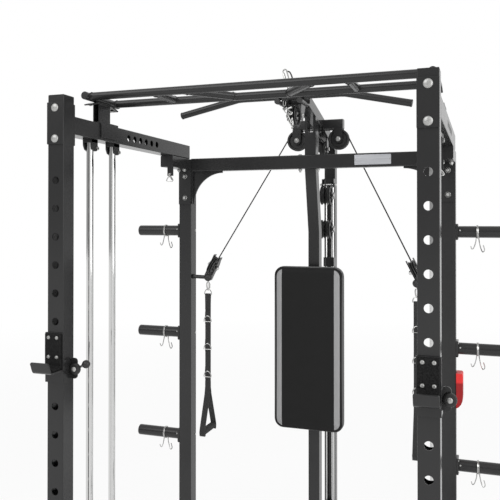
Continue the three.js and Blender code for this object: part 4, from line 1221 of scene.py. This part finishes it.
def makeGuidedBar():
    mesh = bmesh.new()
    centre = cage(0, guidedBar["y"], guidedBar["height"])
    start = guidedBar["sleeveStart"] / 1000
    end = guidedBar["barEnd"] / 1000
    shaft = guidedBar["shaft"] / 2
    sleeve = guidedBar["sleeve"] / 2
    collar = guidedBar["collar"] / 2
    depth = guidedBar["collarDepth"]
    half = [
        (shaft, 0.0), (shaft, start - depth), (collar - 0.0015, start - depth),
        (collar, start - depth + 0.0015), (collar, start - 0.0015), (collar - 0.0015, start),
        (sleeve + 0.0015, start), (sleeve, start + 0.0015), (sleeve, start + 0.012),
        (sleeve - 0.0012, start + 0.0135), (sleeve - 0.0012, start + 0.0155), (sleeve, start + 0.017),
        (sleeve, end - 0.004), (sleeve - 0.004, end - 0.0004), (sleeve * 0.62, end),
        (sleeve * 0.56, end - 0.003), (0.0, end - 0.003),
    ]
    mirrored = [(radius, -place) for radius, place in reversed(half)]
    addLathe(mesh, mirrored[:-1] + half, centre, (1, 0, 0), 56)
    makePiece("guided_shaft", mesh, chrome, "guided_bar", replaces=("smith_bar",))
    grips = bmesh.new()
    for way in (-1, 1):
        profile = [(shaft, -0.17), (shaft + 0.0004, -0.169), (shaft + 0.0004, 0.169), (shaft, 0.17)]
        addLathe(
            grips, [(shaft - 0.001, -0.17), *profile, (shaft - 0.001, 0.17), (shaft - 0.001, -0.17)],
            centre + Vector((way * 0.30, 0, 0)), (1, 0, 0), 56,
        )
    makePiece("knurled_zones", grips, knurled, "guided_bar")
    for side in sideNames:
        way = ways[side]
        dressNode(side + "_latch_hook", side + "_safety_latch", "guided_bar", edge=0.0009)
        dressNode(side + "_bar_carriage", side + "_runner_housing", "bar_runner", edge=0.0011)
        screws = bmesh.new()
        latch = centre + Vector((way * 0.548, 0, 0.0255))
        addBolt(screws, latch, (0, 0, 1), 0.009, 20)
        makePiece(side + "_latch_screw", screws, zinc, "guided_bar")
        seals = bmesh.new()
        bolts = bmesh.new()
        for y in sideBeam["rods"]:
            for step in (-1, 1):
                base = cage(way * sideX, y, guidedBar["height"] + step * 55)
                profile = [
                    (rodHole, 0.0), (0.0185, 0.0), (0.0192, 0.0008), (0.0176, 0.004), (rodHole, 0.0048),
                ]
                addLathe(seals, [*profile, (rodHole, 0.0)], base, (0, 0, step), 40)
            inner = way * sideX / 1000 - way * 0.010
            across = cage(0, guidedBar["y"] + (y - guidedBar["y"]) * 0.55, 0).y
            for z in (0.355, 0.305):
                addBolt(bolts, (inner, across, z), (-way, 0, 0), 0.012, 20)
        makePiece(side + "_runner_seals", seals, plastic, "bar_runner")
        makePiece(side + "_runner_screws", bolts, zinc, "bar_runner")


def makeWeightCarriage():
    dressNode("weight_carriage", "stack_carriage", "weight_carriage", edge=0.0012)
    low, high = corners("weight_carriage")
    mesh = bmesh.new()
    caps = bmesh.new()
    hornY = yAt(1390)
    for way in (-1, 1):
        profile = [
            (0.0, 0.0), (0.0235, 0.0), (0.0245, 0.001), (0.0245, 0.012), (0.021, 0.0155), (0.0, 0.0155),
        ]
        addLathe(caps, profile, (way * 0.3205, hornY, 0.18), (way, 0, 0), 40)
        for z in (low.z - 0.001, high.z + 0.001):
            step = 1 if z > 0.2 else -1
            ring = [
                (0.0083, 0.0), (0.0125, 0.0), (0.0125, 0.004), (0.0115, 0.005), (0.0083, 0.005),
                (0.0083, 0.0),
            ]
            addLathe(mesh, ring, (way * 0.017, yAt(1424), z - step * 0.001), (0, 0, step), 32)
    makePiece("carriage_bushings", mesh, plastic, "weight_carriage")
    makePiece("horn_caps", caps, plastic, "weight_carriage")


# J-hooks: a bent plate with a leaning lip, cheeks, two pins, a rough rubber liner and a clamp knob
hook = {
    "width": 0.068,
    "plate": 0.006,
    "shelf": 0.0255,
    "foot": 0.013,
    "top": 0.149,
    "lipFront": (0.0710, 0.0860),  # how far the lip's outside stands out at its foot and top
    "lipTop": 0.0635,
    "lipCorner": 0.005,
    "cheekRear": 0.045,
    "cheekTop": 0.060,
    "knob": 0.038,
    "knobFront": 0.026,
    "knobRear": 0.0385,
    "knobAcross": 0.0533,
    "knobUp": 0.027,
    "lug": 0.034,  # half its height
    "screws": (0.0715, 0.134),
    "pullBall": (-493, 30, 1224),
    "pullSize": 0.027,
    "pin": 0.023,
    "pitch": 0.092,
    "height": 1178,
    "linerThick": 0.008,
}


def makeHook(side):
    way = ways[side]
    node = side + "_j_hook"
    origin = cage(way * sideX, 0, hook["height"])
    half = hook["width"] / 2
    face = -0.0003
    inner = face - hook["plate"]
    shelfTop = hook["shelf"] + hook["plate"]
    foot, tip = (-reach for reach in hook["lipFront"])
    top = hook["lipTop"]
    lean = (tip - foot) / (top - hook["shelf"])  # negative: the lip leans outwards

    def lipLine(z, inwards=0.0):
        return (foot + lean * (z - hook["shelf"]) + inwards, z)

    bend = bmesh.new()
    outline = [(face, -hook["foot"]), (face, hook["top"]), (inner, hook["top"]), (inner, shelfTop)]
    outline += [
        (foot + 0.012, shelfTop), lipLine(shelfTop + 0.0012, 0.0084), lipLine(shelfTop + 0.004, 0.0068),
    ]
    outline += [lipLine(top + 0.002, 0.0063), lipLine(top)]
    outline += [lipLine(hook["shelf"] + 0.010), lipLine(hook["shelf"] + 0.0055, 0.0014)]
    outline += [lipLine(hook["shelf"] + 0.0018, 0.0046), (foot + 0.011, hook["shelf"])]
    outline += [(inner, hook["shelf"]), (inner, -hook["foot"])]
    addPlate(bend, [origin + Vector((-half, y, z)) for y, z in outline], (hook["width"], 0, 0))
    tops = [
        edge
        for edge in bend.edges
        if min(vert.co.z for vert in edge.verts) > origin.z + top - 0.0001
        and max(vert.co.y for vert in edge.verts) < origin.y - 0.03
        and abs(edge.verts[0].co.x - edge.verts[1].co.x) < 1e-5
    ]
    bevelEdges(bend, tops, hook["lipCorner"], 5)
    body = side + "_hook"
    makePiece(side + "_hook_plate", bend, paint, body, replaces=(node,), edge=0.0009)
    mesh = bmesh.new()
    for step in (-1, 1):
        near = 0.0303 * step
        thick = (half - 0.0303) * step
        cheek = [
            (face - 0.001, -hook["foot"]), (hook["cheekRear"], -hook["foot"]),
            (hook["cheekRear"], hook["cheekTop"] - 0.016), (hook["cheekRear"] - 0.016, hook["cheekTop"]),
            (face - 0.001, hook["cheekTop"]),
        ]
        addPlate(mesh, [origin + Vector((near, y, z)) for y, z in cheek], (thick, 0, 0))
    lugLow = origin + Vector((0.0303, hook["knobRear"] + 0.001, hook["knobUp"] - hook["lug"]))
    lugHigh = origin + Vector((hook["knobAcross"] + 0.0035, hook["cheekRear"], hook["knobUp"] + hook["lug"]))
    made = addBlock(mesh, lugHigh - lugLow, (lugLow + lugHigh) / 2)
    roundCorners(mesh, made, 1, 0.011, 5)
    makePiece(side + "_hook_cheeks", mesh, paint, body, edge=0.0009)

    pins = bmesh.new()
    for z in (0.0, hook["pitch"]):
        start = origin + Vector((0, -0.001, z))
        addRod(pins, start, start + Vector((0, 0.053, 0)), hook["pin"], 36, 0.003)
    makePiece(side + "_hook_pins", pins, zinc, body)

    knobBase = origin + Vector((hook["knobAcross"], 0, hook["knobUp"]))
    stem = bmesh.new()
    front = Vector((0, hook["knobFront"], 0))
    addRod(stem, knobBase + front, knobBase + Vector((0, hook["knobRear"] + 0.005, 0)), 0.0112, 24)
    addDomedBolt(stem, knobBase + front, (0, -1, 0), 0.016)
    makePiece(side + "_knob_bolt", stem, zinc, body)
    if side == "left":
        grip = bmesh.new()
        neck = bmesh.new()
        ball = cage(*hook["pullBall"])
        root = knobBase + Vector((0.008, hook["knobRear"], 0.003))
        r = hook["pullSize"] / 2
        profile = [(0.0, -r)] + [
            (r * math.cos(math.radians(turn)), r * math.sin(math.radians(turn)))
            for turn in range(-78, 90, 12)
        ]
        addLathe(grip, [*profile, (0.0, r)], ball, ball - root, 40)
        addRod(neck, root, ball, 0.008, 20)
        tip = ball + (root - ball).normalized() * (r + 0.004)
        addRod(neck, tip, ball, 0.0125, 24, 0.001)
        makePiece("left_hook_pull", grip, plastic, body)
        makePiece("left_pull_neck", neck, chrome, body)

    liner = bmesh.new()
    back = -hook["plate"] - 0.0006
    low = shelfTop + 0.0003
    thick = hook["linerThick"]
    end = foot + 0.013
    profile = [
        (back, low), (back, hook["top"] - 0.003), (back - thick, hook["top"] - 0.003),
        (back - thick, low + thick + 0.004), (back - thick - 0.0012, low + thick + 0.0012),
        (back - thick - 0.004, low + thick), (end, low + thick), (end, low),
    ]
    addPlate(liner, [origin + Vector((-0.0295, y, z)) for y, z in profile], (0.059, 0, 0))
    strip = [
        lipLine(z, inwards)
        for z, inwards in ((0.040, 0.0070), (0.058, 0.0068), (0.058, 0.0118), (0.040, 0.0120))
    ]
    addPlate(liner, [origin + Vector((-0.0285, y, z)) for y, z in strip], (0.057, 0, 0))
    makePiece(side + "_hook_pad", liner, rubber, body, replaces=(side + "_hook_liner",), edge=0.0011)

    screws = bmesh.new()
    for x in (-0.0155, 0.0155):
        for z in hook["screws"]:
            addBolt(screws, origin + Vector((x, back - thick + 0.0002, z)), (0, -1, 0), 0.0115, 24)
    makePiece(side + "_pad_screws", screws, zinc, body)

    knob = bmesh.new()
    r = hook["knob"] / 2
    bore = 0.006
    depth = hook["knobRear"] - hook["knobFront"]
    ring = [
        (bore, 0.0006), (r * 0.52, 0.0006), (r * 0.56, 0.0), (r * 0.70, 0.0), (r * 0.93, 0.0016),
        (r, 0.0048), (r, depth - 0.0015), (r - 0.0015, depth), (bore, depth), (bore, 0.0006),
    ]
    addLathe(knob, ring, knobBase + front, (0, 1, 0), 60)
    for i in range(20):
        angle = 2 * math.pi * i / 20
        out = Vector((math.cos(angle), 0, math.sin(angle))) * (r - 0.0004)
        rib = knobBase + front + out
        addRod(knob, rib + Vector((0, 0.0052, 0)), rib + Vector((0, depth - 0.0018, 0)), 0.0026, 8)
    makePiece(side + "_clamp_knob", knob, plastic, side + "_knob", replaces=(side + "_hook_knob",))


# swivel pulleys: a leaning fork on its arm, with its cable and ball stop
swivel = {
    "x": 457, "y": 1025, "z": 1481, "lean": 0.466, "wheel": 90, "wheelWidth": 22, "cable": 6,
    "groove": 7, "gap": 0.3, "leave": 22, "ball": 0.036, "ballHeight": 1432,
}


def rimOf(diameter):
    return diameter / 2 - swivel["groove"] + swivel["cable"] / 2 + 2 * swivel["gap"]


def arcPoints(centre, radius, start, end, count, across, up):
    line = []
    for i in range(count + 1):
        angle = start + (end - start) * i / count
        line.append(centre + across * radius * math.cos(angle) + up * radius * math.sin(angle))
    return line


def makeSwivel(side):
    way = ways[side]
    body = side + "_swivel"
    dressNode(side + "_swivel_bracket", side + "_swivel_fork", body, edge=0.0009)
    axle = Vector((math.cos(swivel["lean"]), 0, way * math.sin(swivel["lean"])))
    wheelAt = cage(way * swivel["x"], swivel["y"], swivel["z"])
    bolts = bmesh.new()
    for step in (-1, 1):
        addNut(bolts, wheelAt + axle * step * 0.0182, axle * step, 0.019)
        addRod(bolts, wheelAt + axle * step * 0.018, wheelAt + axle * step * 0.0295, 0.0112, 20, 0.0012)
    makePiece(side + "_swivel_bolts", bolts, chrome, body)
    root = cage(way * 559.7, swivel["y"], 1431)
    mount = bmesh.new()
    addRod(mount, root, root + Vector((-way * 0.005, 0, 0)), 0.022, 40, 0.0012)
    makePiece(side + "_swivel_collar", mount, paint, body)

    armX, armY, armZ = armPulley["centre"]
    armAt = cage(way * armX, armY, armZ)
    x = Vector((way, 0, 0))
    y = Vector((0, 1, 0))
    z = Vector((0, 0, 1))
    armRim = rimOf(armPulley["size"]) / 1000
    wheelRim = rimOf(swivel["wheel"]) / 1000
    start = Vector((way * 0.0123, armAt.y, armAt.z + armRim))
    over = arcPoints(armAt, armRim, 0.5 * math.pi, 0.07 * math.pi, 14, x, z)
    leanUp = Vector((-way * math.sin(swivel["lean"]), 0, math.cos(swivel["lean"])))
    around = arcPoints(wheelAt, wheelRim, 0.35 * math.pi, math.pi, 20, y, leanUp)
    off = wheelAt - y * wheelRim - leanUp * swivel["leave"] / 1000
    end = Vector((off.x, off.y, swivel["ballHeight"] / 1000))
    wire = bmesh.new()
    addWire(wire, [start, *over, *around, off, end], swivel["cable"] / 1000, 12)
    line = makePiece(side + "_arm_line", wire, cover, None, replaces=(side + "_arm_cable",))
    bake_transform(line)
    ball = bmesh.new()
    r = swivel["ball"] / 2
    profile = [(0.0, -r)]
    for i in range(1, 16):
        angle = -math.pi / 2 + math.pi * i / 16
        flat = 1.0 if abs(i - 8) > 1 else 1.015
        profile.append((r * math.cos(angle) * flat, r * math.sin(angle)))
    profile.append((0.0, r))
    addLathe(ball, profile, end, (0, 0, 1), 40)
    neck = [(0.0032, 0.0), (0.0085, 0.0), (0.0078, 0.004), (0.0052, 0.012), (0.0036, 0.016), (0.0032, 0.016)]
    addLathe(ball, [*neck, (0.0032, 0.0)], end + Vector((0, 0, r - 0.002)), (0, 0, 1), 28)
    makePiece(side + "_ball_stop", ball, plastic, body)


# strap handles: a snap link, a webbing strap with four D-rings, and a foam grip
strap = {
    "width": 0.027, "thick": 0.0032, "webbingTop": 1349, "rings": (1245, 1119, 993), "split": 924,
    "grip": 742, "gripLength": 0.132, "gripSize": 0.030, "snapTop": 1413.7,
}


def addBand(mesh, points, width, thick, crosswise=(1, 0, 0)):
    # a flat webbing band along points, its width along one direction
    across = Vector(crosswise) * width / 2
    rows = []
    for i, point in enumerate(points):
        before = points[max(i - 1, 0)]
        after = points[min(i + 1, len(points) - 1)]
        along = (Vector(after) - Vector(before)).normalized()
        out = along.cross(Vector(crosswise)).normalized() * thick / 2
        ring = [
            Vector(point) - across * 0.97 - out, Vector(point) + across * 0.97 - out,
            Vector(point) + across - out * 0.4, Vector(point) + across + out * 0.4,
            Vector(point) + across * 0.97 + out, Vector(point) - across * 0.97 + out,
            Vector(point) - across + out * 0.4, Vector(point) - across - out * 0.4,
        ]
        verts = [mesh.verts.new(corner) for corner in ring]
        edges = [mesh.edges.new((a, b)) for a, b in zip(verts, verts[1:] + verts[:1])]
        if rows:
            bmesh.ops.bridge_loops(mesh, edges=rows[-1] + edges)
        rows.append(edges)
    for edges in (rows[0], rows[-1]):
        bmesh.ops.contextual_create(mesh, geom=edges)


def addDRing(mesh, place, width, height, wire):
    # a straight bar and a half round below it, or above it where the height is negative
    half = width / 2
    outline = [place + Vector((-half, 0, 0)), place + Vector((half, 0, 0))]
    for i in range(1, 12):
        angle = -math.pi * i / 12
        outline.append(place + Vector((half * math.cos(angle), 0, height * math.sin(angle))))
    addWire(mesh, outline, wire, 12, True)


def makeStrap(side):
    body = side + "_strap"
    node = side + "_strap_handle"
    low, high = corners(node)
    centre = (low + high) / 2
    x = centre.x
    y = centre.y

    def spot(dy, z):
        return Vector((x, y + dy / 1000, z / 1000))

    width = strap["width"]
    thick = strap["thick"]
    mesh = bmesh.new()
    top = strap["webbingTop"]
    addBand(mesh, [spot(0, strap["split"] + 2), spot(0, 1000), spot(0, 1180), spot(0, top)], width, thick)
    loop = [spot(0.6, top - 36), spot(1.8, top - 14)]
    for i in range(9):
        angle = math.pi * i / 8
        loop.append(spot(3.6 * math.cos(angle), top + 2 + 6.5 * math.sin(angle)))
    loop += [spot(-3.0, top - 14), spot(-1.9, top - 36), spot(-1.9, top - 64)]
    addBand(mesh, loop, width, thick * 0.7)
    for height in strap["rings"]:
        folds = ((-1.9, 30), (-3.0, 18), (-4.6, 4), (-3.0, -6), (-1.9, -26))
        addBand(mesh, [spot(dy, height + dz) for dy, dz in folds], width, thick * 0.7)
    half = strap["gripLength"] / 2 - 0.004
    for step in (-1, 1):
        legs = [
            spot(step * 1.2, strap["split"] + 34), spot(step * 1.6, strap["split"] + 8),
            spot(step * 9, strap["split"] - 26),
        ]
        legs += [
            spot(step * (9 + (half * 1000 - 9) * share), strap["split"] - 26 - (156 - 18) * share)
            for share in (0.25, 0.5, 0.75, 1.0)
        ]
        tip = strap["grip"]
        for i in range(1, 8):
            angle = math.pi * 0.22 - math.pi * 1.2 * i / 7
            legs.append(
                spot(
                    step * half * 1000 + 17.2 * math.cos(angle) * 0.28 * step,
                    tip + 17.0 * math.sin(angle),
                )
            )
        addBand(mesh, legs, width, thick)
    makePiece(side + "_strap_webbing", mesh, strapCloth, body, replaces=(node,))

    rings = bmesh.new()
    addDRing(rings, spot(0, top + 5), 0.035, -0.024, 0.0046)
    for height in strap["rings"]:
        addDRing(rings, spot(-5.6, height - 15), 0.036, -0.026, 0.0042)
    snapTop = strap["snapTop"] / 1000 - 0.003
    snapLow = top / 1000 + 0.025
    link = []
    for i in range(40):
        angle = 2 * math.pi * i / 40
        wide = 0.0062 + 0.0016 * math.sin(angle)
        tall = (snapTop - snapLow) / 2
        link.append(Vector((x + wide * math.cos(angle), y, snapLow + tall * (1 + math.sin(angle)))))
    addWire(rings, link, 0.0062, 12, True)
    gate = Vector((x + 0.0060, y, (snapTop + snapLow) / 2))
    addRod(rings, gate + Vector((0, 0, -0.011)), gate + Vector((0.0010, 0, 0.011)), 0.0085, 16, 0.001)
    makePiece(side + "_strap_rings", rings, steel, body)

    grip = bmesh.new()
    r = strap["gripSize"] / 2
    half = strap["gripLength"] / 2
    profile = [(0.0, -half), (r * 0.80, -half), (r * 0.97, -half + 0.002), (r, -half + 0.006)]
    for i in range(1, 9):
        place = -half + 0.006 + (2 * half - 0.012) * i / 9
        swell = 0.0004 * math.sin(math.pi * i / 9)
        profile.append((r + swell, place))
    profile += [(r, half - 0.006), (r * 0.97, half - 0.002), (r * 0.80, half), (0.0, half)]
    addLathe(grip, profile, spot(0, strap["grip"]), (0, 1, 0), 44)
    makePiece(side + "_strap_grip", grip, foam, body)


# lat bar with its lug, end plugs, snap link and chain
latBar = {
    "tube": 0.028,
    "y": 722,
    "z": 2188,
    "half": 474,
    "straight": 216,
    "drop": 55,
    "bend": ((22, 4.6), (6, 1.2), (-14, 0)),  # past the straight part, and below it
}


def makeLatBar():
    mesh = bmesh.new()
    bend = [(latBar["half"], latBar["drop"])]
    bend += [(latBar["straight"] + out, drop) for out, drop in latBar["bend"]]
    right, left = ([cage(way * x, latBar["y"], latBar["z"] - drop) for x, drop in bend] for way in (1, -1))
    addWire(mesh, right + left[::-1], latBar["tube"], 40)
    for spot in (-0.010, 0.010):
        addRing(
            mesh, cage(0, latBar["y"], latBar["z"]) + Vector((spot, 0, 0)), (1, 0, 0), 0.0282, 0.002, 36,
            8,
        )
    addBox(
        mesh, cage(-4, latBar["y"] - 12, latBar["z"] + 10), cage(4, latBar["y"] + 12, latBar["z"] + 34),
        0.0022, 3,
    )
    makePiece("lat_bar_tube", mesh, paint, "lat_bar", replaces=("lat_bar",))
    plugs = bmesh.new()
    for way in (-1, 1):
        tip = cage(way * latBar["half"], latBar["y"], latBar["z"] - latBar["drop"])
        axis = Vector((way * (latBar["half"] - latBar["straight"]), 0, -latBar["drop"])).normalized()
        profile = [(0.0, -0.004), (0.0128, -0.004), (0.0146, -0.003), (0.0146, 0.0008), (0.0130, 0.0024)]
        addLathe(plugs, [*profile, (0.0, 0.0026)], tip, axis, 36)
    makePiece("lat_bar_plugs", plugs, plastic, "lat_bar")
    snap = bmesh.new()
    foot = cage(0, latBar["y"] - 2, latBar["z"] + 24)
    head = cage(-25, latBar["y"] - 2, latBar["z"] + 111)
    addLink(snap, foot, head, 0.021, 0.0062, (0, 1, 0))
    sleeve = (foot + head) / 2 + Vector((-0.0098, 0, 0.004))
    addRod(snap, sleeve, sleeve + (head - foot) * 0.24, 0.0095, 6, 0.001)
    makePiece("lat_bar_snap", snap, steel, "lat_bar")
    keeper = bmesh.new()
    curl = [(11, 0, 2236), (9, 1, 2252), (5, 2, 2267), (0, 2, 2279), (-5, 2, 2286), (-13, 1, 2289)]
    addWire(keeper, smoothLine([cage(a, latBar["y"] + b, c) for a, b, c in curl], 8), 0.006, 12)
    makePiece("lat_bar_keeper", keeper, cover, "lat_bar")


chain = {
    "wire": 0.0042,
    "links": (  # start, end, width and facing of each, in cage millimetres
        ((-29, 735, 2183), (-30, 735, 2152), 14, (0, 1, 0)),
        ((-30, 735, 2157), (-30, 735, 2133), 15, (1, 0, 0)),
        ((-30, 735, 2149), (-29, 735, 2134), 15, (0, 1, 0)),
        ((-29, 735, 2140), (-3, 737, 2117), 18, (0, 1, 0)),
        ((-12, 732, 2131), (3, 736, 2118), 15, (0, 1, 0)),
        ((-19, 735, 2117), (-3, 738, 2080), 10, (0, 1, 0)),
        ((-5, 737, 2088), (0, 746, 2070), 12, (1, 0, 0)),
    ),
}


def addLink(mesh, start, end, width, wire, facing):
    # one oval link of round wire from start to end, flat across the facing direction
    along = (end - start).normalized()
    across = along.cross(Vector(facing)).normalized()
    bend = (width - wire) / 2
    straight = max((end - start).length / 2 - width / 2, 0.0)
    middle = (start + end) / 2
    oval = []
    for k in range(28):
        angle = 2 * math.pi * (k + 0.5) / 28
        shift = straight if math.sin(angle) > 0 else -straight
        oval.append(middle + across * bend * math.cos(angle) + along * (bend * math.sin(angle) + shift))
    addWire(mesh, oval, wire, 10, True)


def makeChain():
    mesh = bmesh.new()
    for start, end, width, facing in chain["links"]:
        addLink(mesh, cage(*start), cage(*end), width / 1000, chain["wire"], facing)
    pin = cage(-16, 735, 2140)
    addRod(mesh, pin, pin + Vector((0.018, 0, 0.006)), 0.0075, 12, 0.001)
    makePiece("lat_chain", mesh, steel)
    fitting = bmesh.new()
    x, y, z = pulleys["lat"]["centre"]
    end = cage(x, y - rimOf(pulleys["lat"]["size"]), z - 45)
    profile = [(0.0, 0.0), (0.0062, 0.0), (0.0068, 0.0014), (0.0068, 0.016), (0.0048, 0.020), (0.0033, 0.030)]
    addLathe(fitting, [*profile, (0.0, 0.030)], end, (0, 0, 1), 28)
    addRing(fitting, end + Vector((0, 0, -0.007)), (1, 0, 0), 0.014, 0.0042, 28, 10)
    makePiece("lat_cable_fitting", fitting, steel)


def makeLatCables():
    y = Vector((0, 1, 0))
    z = Vector((0, 0, 1))
    frontAt, rearAt = (cage(*pulleys[name]["centre"]) for name in ("lat", "boom"))
    frontRim, rearRim = (rimOf(pulleys[name]["size"]) / 1000 for name in ("lat", "boom"))
    front = arcPoints(frontAt, frontRim, math.pi, 0.45 * math.pi, 16, y, z)
    rear = arcPoints(rearAt, rearRim, 0.45 * math.pi, 0, 14, y, z)
    start = frontAt - y * frontRim - z * 0.045
    end = rearAt + y * rearRim - z * 0.060
    wire = bmesh.new()
    addWire(wire, [start, *front, *rear, end], 0.006, 12)
    makePiece("lat_line", wire, cover, replaces=("lat_cable",))
    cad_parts["lift_cable"].data.materials.clear()
    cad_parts["lift_cable"].data.materials.append(cover)


# back pad: foam under vinyl, on a bracket
pad = {
    "corner": 0.042,
    "shrink": (-0.003, 0.0035, -0.0015),  # the cover stands proud of the board at its sides
    "voxel": 0.005,
    "pressure": 2.5,
    "frames": 16,
    "held": 0.013,  # the sides and back behind this depth are stretched tight over the board
    "cap": 0.0042,
    "edge": 0.010,
}


def makePad():
    low, high = corners("back_pad")
    shrink = Vector(pad["shrink"])
    mesh = bmesh.new()
    made = addBlock(mesh, (high - low) - 2 * shrink, (low + high) / 2)
    roundCorners(mesh, made, 1, pad["corner"], 10)
    rims = [edge for edge in mesh.edges if edge.calc_face_angle(0.0) > math.radians(60)]
    bevelEdges(mesh, rims, pad["edge"], 5)
    piece = makePiece("back_cushion", mesh, vinyl, replaces=("back_pad",))
    piece.modifiers.clear()
    grid = piece.modifiers.new("grid", "REMESH")
    grid.mode = "VOXEL"
    grid.voxel_size = pad["voxel"]
    bakeModifiers(piece)
    flat = [vert.co.copy() for vert in piece.data.vertices]
    group = piece.vertex_groups.new(name="board")
    group.add([i for i, point in enumerate(flat) if point.y > low.y + pad["held"]], 1.0, "REPLACE")
    cloth = piece.modifiers.new("foam", "CLOTH")
    cloth.settings.quality = 5
    cloth.settings.mass = 0.4
    cloth.settings.tension_stiffness = 40
    cloth.settings.compression_stiffness = 40
    cloth.settings.bending_stiffness = 2
    cloth.settings.use_pressure = True
    cloth.settings.uniform_pressure_force = pad["pressure"]
    cloth.settings.vertex_group_mass = "board"
    cloth.settings.effector_weights.gravity = 0.0
    cloth.point_cache.frame_end = pad["frames"]
    for frameNumber in range(1, pad["frames"] + 1):
        scene.frame_set(frameNumber)
    bakeModifiers(piece)
    scene.frame_set(1)
    for vert, start in zip(piece.data.vertices, flat):
        move = vert.co - start
        if move.length > pad["cap"]:
            vert.co = start + move.normalized() * pad["cap"]
    soft = bmesh.new()
    soft.from_mesh(piece.data)
    bmesh.ops.smooth_vert(
        soft, verts=soft.verts, factor=0.5, use_axis_x=True, use_axis_y=True, use_axis_z=True,
    )
    soft.to_mesh(piece.data)
    soft.free()
    piece.data.shade_smooth()
    board = bmesh.new()
    size = Vector((high.x - low.x - 0.016, 0.006, high.z - low.z - 0.016))
    made = addBlock(board, size, ((low.x + high.x) / 2, high.y - 0.0029, (low.z + high.z) / 2))
    roundCorners(board, made, 1, pad["corner"] - 0.008, 8)
    makePiece("cushion_board", board, plastic, edge=0.001)
    dressNode("pad_bracket", "cushion_bracket", edge=0.0011)
    places = [cage(x, 1046.4, height) for x in (-48, 48) for height in (940, 1325)]
    makeBolts("cushion_bolts", places, (0, 1, 0), 0.018)


# red moulded pocket on the right rear upright
def makeHolster():
    low, high = corners("accessory_holster")
    high.x -= 0.0035
    high.z -= 0.002
    low.z += 0.007
    mesh = bmesh.new()
    outline = [
        (low.x, high.z), (high.x - 0.006, high.z), (high.x - 0.002, high.z - 0.002),
        (high.x, high.z - 0.006), (high.x, low.z + 0.042), (high.x - 0.002, low.z + 0.030),
        (high.x - 0.007, low.z + 0.017), (high.x - 0.016, low.z + 0.006), (low.x, low.z),
    ]
    addPlate(mesh, [Vector((x, low.y, z)) for x, z in outline], (0, high.y - low.y, 0))
    cutter = bmesh.new()
    slotHalf = 0.010
    addBox(
        cutter, (high.x - 0.012, (low.y + high.y) / 2 - slotHalf, low.z + 0.070),
        (high.x + 0.01, (low.y + high.y) / 2 + slotHalf, high.z - 0.030), 0.002,
    )
    makePiece("holster_shell", mesh, red, replaces=("accessory_holster",), cutters=cutter, edge=0.0012)
    screws = bmesh.new()
    for z in (high.z - 0.020, low.z + 0.060):
        addBolt(screws, (low.x + 0.0046, (low.y + high.y) / 2, z), (1, 0, 0), 0.011, 20)
    makePiece("holster_screws", screws, zinc)


print("uprights and beams")
for side in sideNames:
    makeFrontUpright(side)
    makeSideBeam(side)
    makeJointPlate(side)
    makeRearUpright(side)
    makeRearArm(side)
    makePullUpPost(side)
    makePulleyArm(side)
makeBase()
makeCrossbeam()
makePullUpFrame()
print("boom, column and pulleys")
makeBoom()
makePostAndColumn()
makePulleys()
print("rods, guided bar and weight carriage")
makeRods()
makeGuidedBar()
makeWeightCarriage()
print("hooks, swivels and straps")
for side in sideNames:
    makeHook(side)
    makeSwivel(side)
    makeStrap(side)
print("lat bar, chain and cables")
makeLatBar()
makeChain()
makeLatCables()
print("pad and holster")
makePad()
makeHolster()
